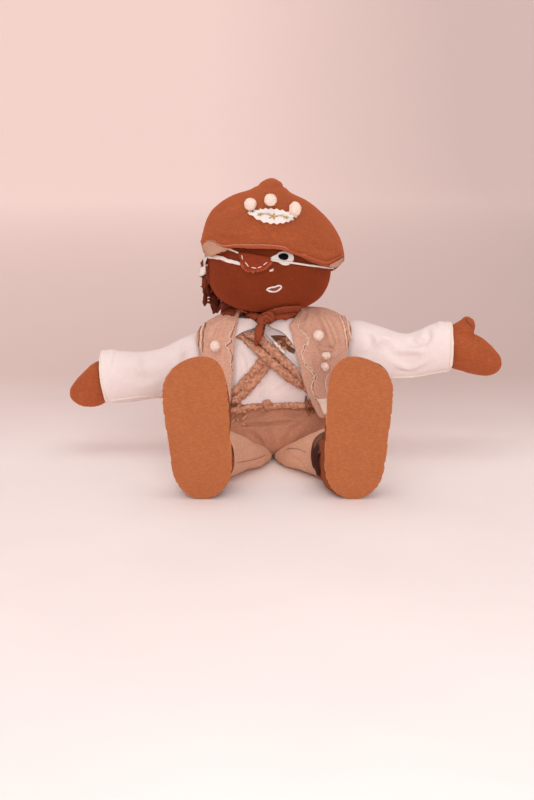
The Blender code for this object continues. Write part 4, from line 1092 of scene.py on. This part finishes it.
# A ruck beside the right trim, a raised thread drawn lighter as painted highlight
RIGHT_TRIM_RUCK = ((299, 321.5), (301.5, 328), (305.4, 334), (309.6, 340), (307, 346),
                     (304, 352), (304.2, 360), (309, 367), (315, 373), (317, 379),
                     (314, 386), (315.6, 394), (320, 399))
LEFT_TRIM = ((235.4, 321.6), (232.6, 329), (229.4, 337), (230.2, 341), (226, 344.8), (229, 349.8),
             (231.4, 357), (230.2, 364), (231.8, 370))
ARMHOLE_RIDGES = (
    ("armhole_left_outer", ((200.2, 324), (197.6, 334), (197, 345), (197.4, 354))),
    ("armhole_left_inner", ((205, 322), (202, 332), (201.2, 343), (201.6, 352))),
    ("armhole_right_outer", ((343.5, 314), (347, 322), (349.4, 334), (351, 346))),
    ("armhole_right_inner", ((339.5, 316), (343, 326), (345.6, 338), (346.6, 348))))
VEST_ARC = ((328.4, 374), (325.8, 379), (325.4, 385), (327.4, 392))


def make_vest_details(vest):
    tree = tree_of(vest)
    for side, line, bends, steps, reach in (("right", RIGHT_TRIM, 44, 130, 0.7),
                                            ("left", LEFT_TRIM, 26, 80, 0.6)):
        trim = "vest_trim_" + side
        dress(thread(trim + "_thread", tree, shaken(line, bends, reach), 0.6, 0.3, steps, 0.6,
                     0.4), "trim", trim)
    # The ruck by the right trim: a raised thread, lighter as painted highlight
    sew(tree, "vest_highlight", "vest_ruck_highlight_right", shaken(RIGHT_TRIM_RUCK, 40, 0.8), 0.5, 0.1, 120,
        0.4, 0.5)
    # Dark threads beside the trims: painted shadow of the raised trims
    for side, line in (("right", RIGHT_TRIM), ("left", LEFT_TRIM)):
        sew(tree, "seam", "vest_trim_shadow_" + side, shaken(shifted(line, 1.1, 0.7), 40, 0.5),
            0.36, 0.1, 110, 0.6, 0.5)
    # Raised ridges at the armholes, in a lighter vest cloth as painted highlight
    for name, line in ARMHOLE_RIDGES:
        sew(tree, "vest_highlight", name, shaken(line, 14, 0.5), 0.9, 0.3, 60, 0.4, 0.3)
        # A dark groove thread beside each ridge: painted shade
        sew(tree, "seam", name + "_groove_shade", shaken(shifted(line, 1.6), 14, 0.4), 0.4, 0.1, 60,
            0.4, 0.4)
    sew(tree, "trim", "vest_arc_thread", VEST_ARC, 0.55, 0.2, 20, 0.5)


# Cords

CORD_SWELL = 0.45 * MM
CORDS = ("strap_over_upper", "strap_over_lower", "strap_under_upper", "strap_under_lower", "belt")
SHIRT_EDGE = ((265.4, 333), (276, 344.6), (288, 357), (299, 367.4))
# A dark patch in the notch between the collar leaves, in a darkened cord colour: painted shadow
COLLAR_NOTCH_SHADE = ((270.8, 336), (278, 335.4), (285.4, 336), (285.8, 342), (290, 346), (295, 350),
                (294, 354), (289.4, 352), (284, 347), (277, 342))
BELT_LOOPS = (
    ("belt_loop_upper", ((231, 404), (236, 400), (240, 404), (237, 410), (231, 412)), 1.9),
    ("belt_loop_lower", ((232, 418), (238, 412), (246, 411.5), (245, 417), (240, 421)), 1.7),
    ("belt_loop_end", ((231, 424), (237, 419), (241, 423), (247, 427)), 1.6))
# The belt's loose ends hang beside the vest's edge in a darker copy of the cord: painted shade
BELT_ENDS = (
    ("belt_end_left", ((305.4, 396), (306.6, 406), (309.6, 416))),
    ("belt_end_right", ((309.6, 398), (310.6, 406), (313.4, 414))))


def make_cords():
    pieces = []
    for number, node in enumerate(CORDS):
        cord = refined(node + "_cord", node, 4)
        push(cord, CORD_SWELL)
        pucker(cord, 1.0, 2.4, 6.0, 3.7 * number)
        crumple(cord, 0.35, 2.2, 1.9 * number)
        pieces.append(dress(cord, "cord", node))
    return pieces


def gathered_end(loop, seed, look):
    """Gather a loose cord's end or loop and finish it."""
    loop = subdivide(loop, 1)
    pucker(loop, 0.7, 2.6, 5, seed)
    dress(loop, look)


def make_cord_details(shirt, shorts, cords):
    tree = tree_of(shirt, shorts, *cords)
    sew(tree, "shirt", "shirt_edge", SHIRT_EDGE, 1.4, 0.6, 30, 0.8, 0.05)
    # The notch's dark patch is painted shadow
    dress(patch("collar_notch_shade", tree, COLLAR_NOTCH_SHADE, 0.5, 0.4), "shadow")
    for name, line, radius in BELT_LOOPS:
        gathered_end(thread(name, tree, line, radius, 0.0, 36, 0.5, 0.2), radius, "cord")
    for name, line in BELT_ENDS:
        gathered_end(thread(name, tree, line, 1.5, 0.2, 24, 0.5, 0.2), 7.7, "cord_shaded")


# Soles, cuffs and legs

SHARP_EDGE = math.radians(50)
SOLE_BEVEL = 0.5 * MM
RIM_BACK = 0.9 * MM
CUFF_LINES = (
    ("cuff_left", ((101.4, 352), (99.8, 362), (100.4, 376), (103, 390), (107.6, 400))),
    ("cuff_right", ((450, 323.4), (450.8, 338), (450.8, 352), (450, 369))),
    ("sleeve_seam_left", ((110, 400.4), (124, 398.6), (140, 396.6), (150, 395.8), (162, 397.6))),
    ("sleeve_seam_right", ((392, 377), (410, 376.6), (430, 373.6), (448, 371.4))))
# Dark threads on the hands where they go into the sleeves: painted shade in the gaps
CUFF_GAP_SHADES = (("right", ((452.4, 327), (452.8, 340), (452.6, 356), (452, 367))),
             ("left", ((98.6, 360), (99, 372), (101, 386), (105.6, 398))))
# The trousers' seams: real seam lines, drawn darker as painted shade along their creases
LEG_SEAMS = (("left", ((235.6, 463), (245, 461.4), (256, 459), (265.4, 455))),
             ("right", ((286, 449.4), (293, 448.4), (300, 449.6), (306, 452.6))))
# A dark patch at the right shoe's ankle, in the trouser leg's opening: painted shadow over dark cloth
ANKLE_SHADOW = ((316.8, 440), (312.6, 450), (309.8, 461), (312, 472), (317.4, 483), (320, 474),
                (319, 462), (319.6, 450))


def keep_rims(piece, angle):
    """Mark the sharp edges, so that smoothing follows their line and doesn't round it off."""
    work = bmesh.new()
    work.from_mesh(piece.data)
    marks = work.edges.layers.float.new("crease_edge")
    for edge in work.edges:
        edge[marks] = 1.0 if edge.calc_face_angle(0.0) > angle else 0.0
    work.to_mesh(piece.data)
    work.free()


def make_sole(side):
    """A sole cut from thick cloth, with a paler rolled rim round its face."""
    sole = object_of("sole_%s_cloth" % side, welded("sole_" + side))
    keep_rims(sole, SHARP_EDGE)
    subdivide(sole, 2)
    bevel = sole.modifiers.new("Edge", "BEVEL")
    bevel.width = SOLE_BEVEL
    bevel.segments = 2
    bevel.limit_method = "ANGLE"
    bevel.angle_limit = SHARP_EDGE
    settle(sole)
    dress(sole, "sole", "sole_" + side)
    sole.data.shade_flat()
    places = corners(sole)
    front = places[:, 1].min()
    middle = places.mean(axis=0)
    edge = {}
    for place in places:
        turn = round(math.atan2(place[2] - middle[2], place[0] - middle[0]), 2)
        reach = math.hypot(place[2] - middle[2], place[0] - middle[0])
        if turn not in edge or reach > edge[turn][0]:
            edge[turn] = (reach, place)
    rim = [(place[0], front + RIM_BACK, place[2]) for _, (_, place) in sorted(edge.items())]
    line = tube("sole_%s_rim" % side, rim, 0.75, 2, True)
    crumple(line, 0.2, 3, 4.0)
    dress(line, "rim")


def make_cuffs(shirt, hands):
    tree = tree_of(shirt)
    for name, line in CUFF_LINES:
        sew(tree, "cuff", name, line, 0.8, -0.1, 40, 0.6)
    # Painted shade: a dark thread along each gap between cuff and hand
    for side, line in CUFF_GAP_SHADES:
        sew(tree_of(hands[side]), "lips", "cuff_gap_shade_" + side, line, 0.7, -0.2, 40, 0.4)


def make_leg_details(legs, shoes):
    # Dark seam threads: painted shade along the real seams
    for side, line in LEG_SEAMS:
        sew(tree_of(legs[side]), "seam", "seam_" + side, line, 0.26, 0.0, 30, 0.7, 0.2,
            slot="trouser_cloth")
    # The dark patch is painted shadow in the opening, over dark cloth
    hole = smooth_path(ANKLE_SHADOW, 24, True)
    dress(patch("ankle_shadow", tree_of(shoes["right"]), hole, 0.5, 0.3), "dark")


# The scarf

SCARF_FOLDS = (
    (((262, 313), (267, 316), (272, 322)), 0.9, 0.9),
    (((262, 318), (267, 321), (270, 325)), 0.9, 0.9),
    (((273, 311), (284, 310.4), (298, 307)), 1.0, 1.3),
    (((258.4, 335), (259.4, 344), (257.6, 351)), 0.9, 0.6),
)
# Each band's line and widths, its lift and its ripple
SCARF_BANDS = (
    (((268, 311.5), (276, 309.5), (283, 308), (292, 306.6), (300, 306)), (6, 7.5, 6.5, 5.5, 4),
     2.6, 0.16),
    (((270, 318), (277, 317), (285, 315.4), (293, 312.4), (300, 309.6)), (6, 6.5, 6, 5, 4),
     1.6, 0.16),
    (((262.6, 322), (260.4, 332), (259.4, 342), (256.8, 352.6)), (7.6, 7.2, 6.4, 5.2), 1.8, 0.14),
    (((238, 310), (246, 313.4), (255, 317), (263, 320)), (3.4, 6, 6.6, 6), 1.8, 0.16),
)
KNOT_MIDDLE = (267.4, 318.4)
KNOT_LIFT = 2.2 * MM
KNOT_WRAPS = (((261, 314), (266, 312.4), (272, 315), (273.6, 321)),
              ((261.6, 319), (267, 316.6), (272, 320.6), (270, 325.6)),
              ((262, 323), (266, 320.6), (269, 324)))


def make_scarf(head, vest, collars, shirt):
    scarf = refined("neck_scarf_cloth", "neck_scarf")
    crumple(scarf, 0.6, 5, 2.0)
    fold_all(scarf, SCARF_FOLDS)
    ground = tree_of(scarf, head, shirt, *collars)
    bands = [flat_strip("band", ground, line, widths, lift, 1.2, 26, ripple)
             for line, widths, lift, ripple in SCARF_BANDS]
    knot = [ball("knot", seen_at(ground, *KNOT_MIDDLE, KNOT_LIFT), 5.4)]
    for line in KNOT_WRAPS:
        knot.append(flat_strip("knot", tree_of(knot[0]), line, (3.4,) * len(line), 0.5, 1.6, 16,
                               0.1))
    dress(joined("neck_scarf_layers", bands), "scarf")
    dress(joined("neck_scarf_knot", knot), "scarf")
    nape = tree_of(head, vest, scarf)
    hair = [flat_strip("nape", nape, line, widths, 1.0, 2.2, 16, 0.3)
            for line, widths in NAPE_HAIR]
    dress(joined("hair_at_neck", hair), "hair")
    dress(scarf, "scarf", "neck_scarf")


def make_all():
    head = make_head()
    shirt = make_shirt()
    shorts = make_soft("shorts", "shorts", SHORTS_FOLDS, (0.8, 20, 8.3))
    hands = {side: make_hand(side) for side in SIDES}
    for side in SIDES:
        make_sole(side)
    legs = {side: make_soft("trouser_leg_" + side, "trousers", LEG_FOLDS[side], (0.7, 16, 6.1)) for side in SIDES}
    shoes = {side: make_shoe(side) for side in SIDES}
    vest = make_soft("vest", "vest", VEST_FOLDS, (0.45, 12, 2.6), (0.35, 4.0, 7.6))
    hat = make_soft("hat", "hat", HAT_FOLDS, (0.5, 18, 5.1))
    make_hat_details(hat)
    make_hat_patch(hat)
    for number, node in enumerate(sorted(name for name in NODES if "bead" in name)):
        make_bead(node, 1.7 * number, 0.8 if "pair" in node else 0.45)
    make_face(head, make_hair(head))
    make_vest_details(vest)
    collars = [make_soft("collar_" + side, "shirt", (), (0.3, 8)) for side in SIDES]
    make_cord_details(shirt, shorts, make_cords())
    make_scarf(head, vest, collars, shirt)
    tab = make_soft("vest_tab", "tab", (), (0.2, 4), levels=2)
    make_leg_details(legs, shoes)
    make_cuffs(shirt, hands)


make_camera()
LOOKS = make_looks()
make_stage()
make_light()
make_all()
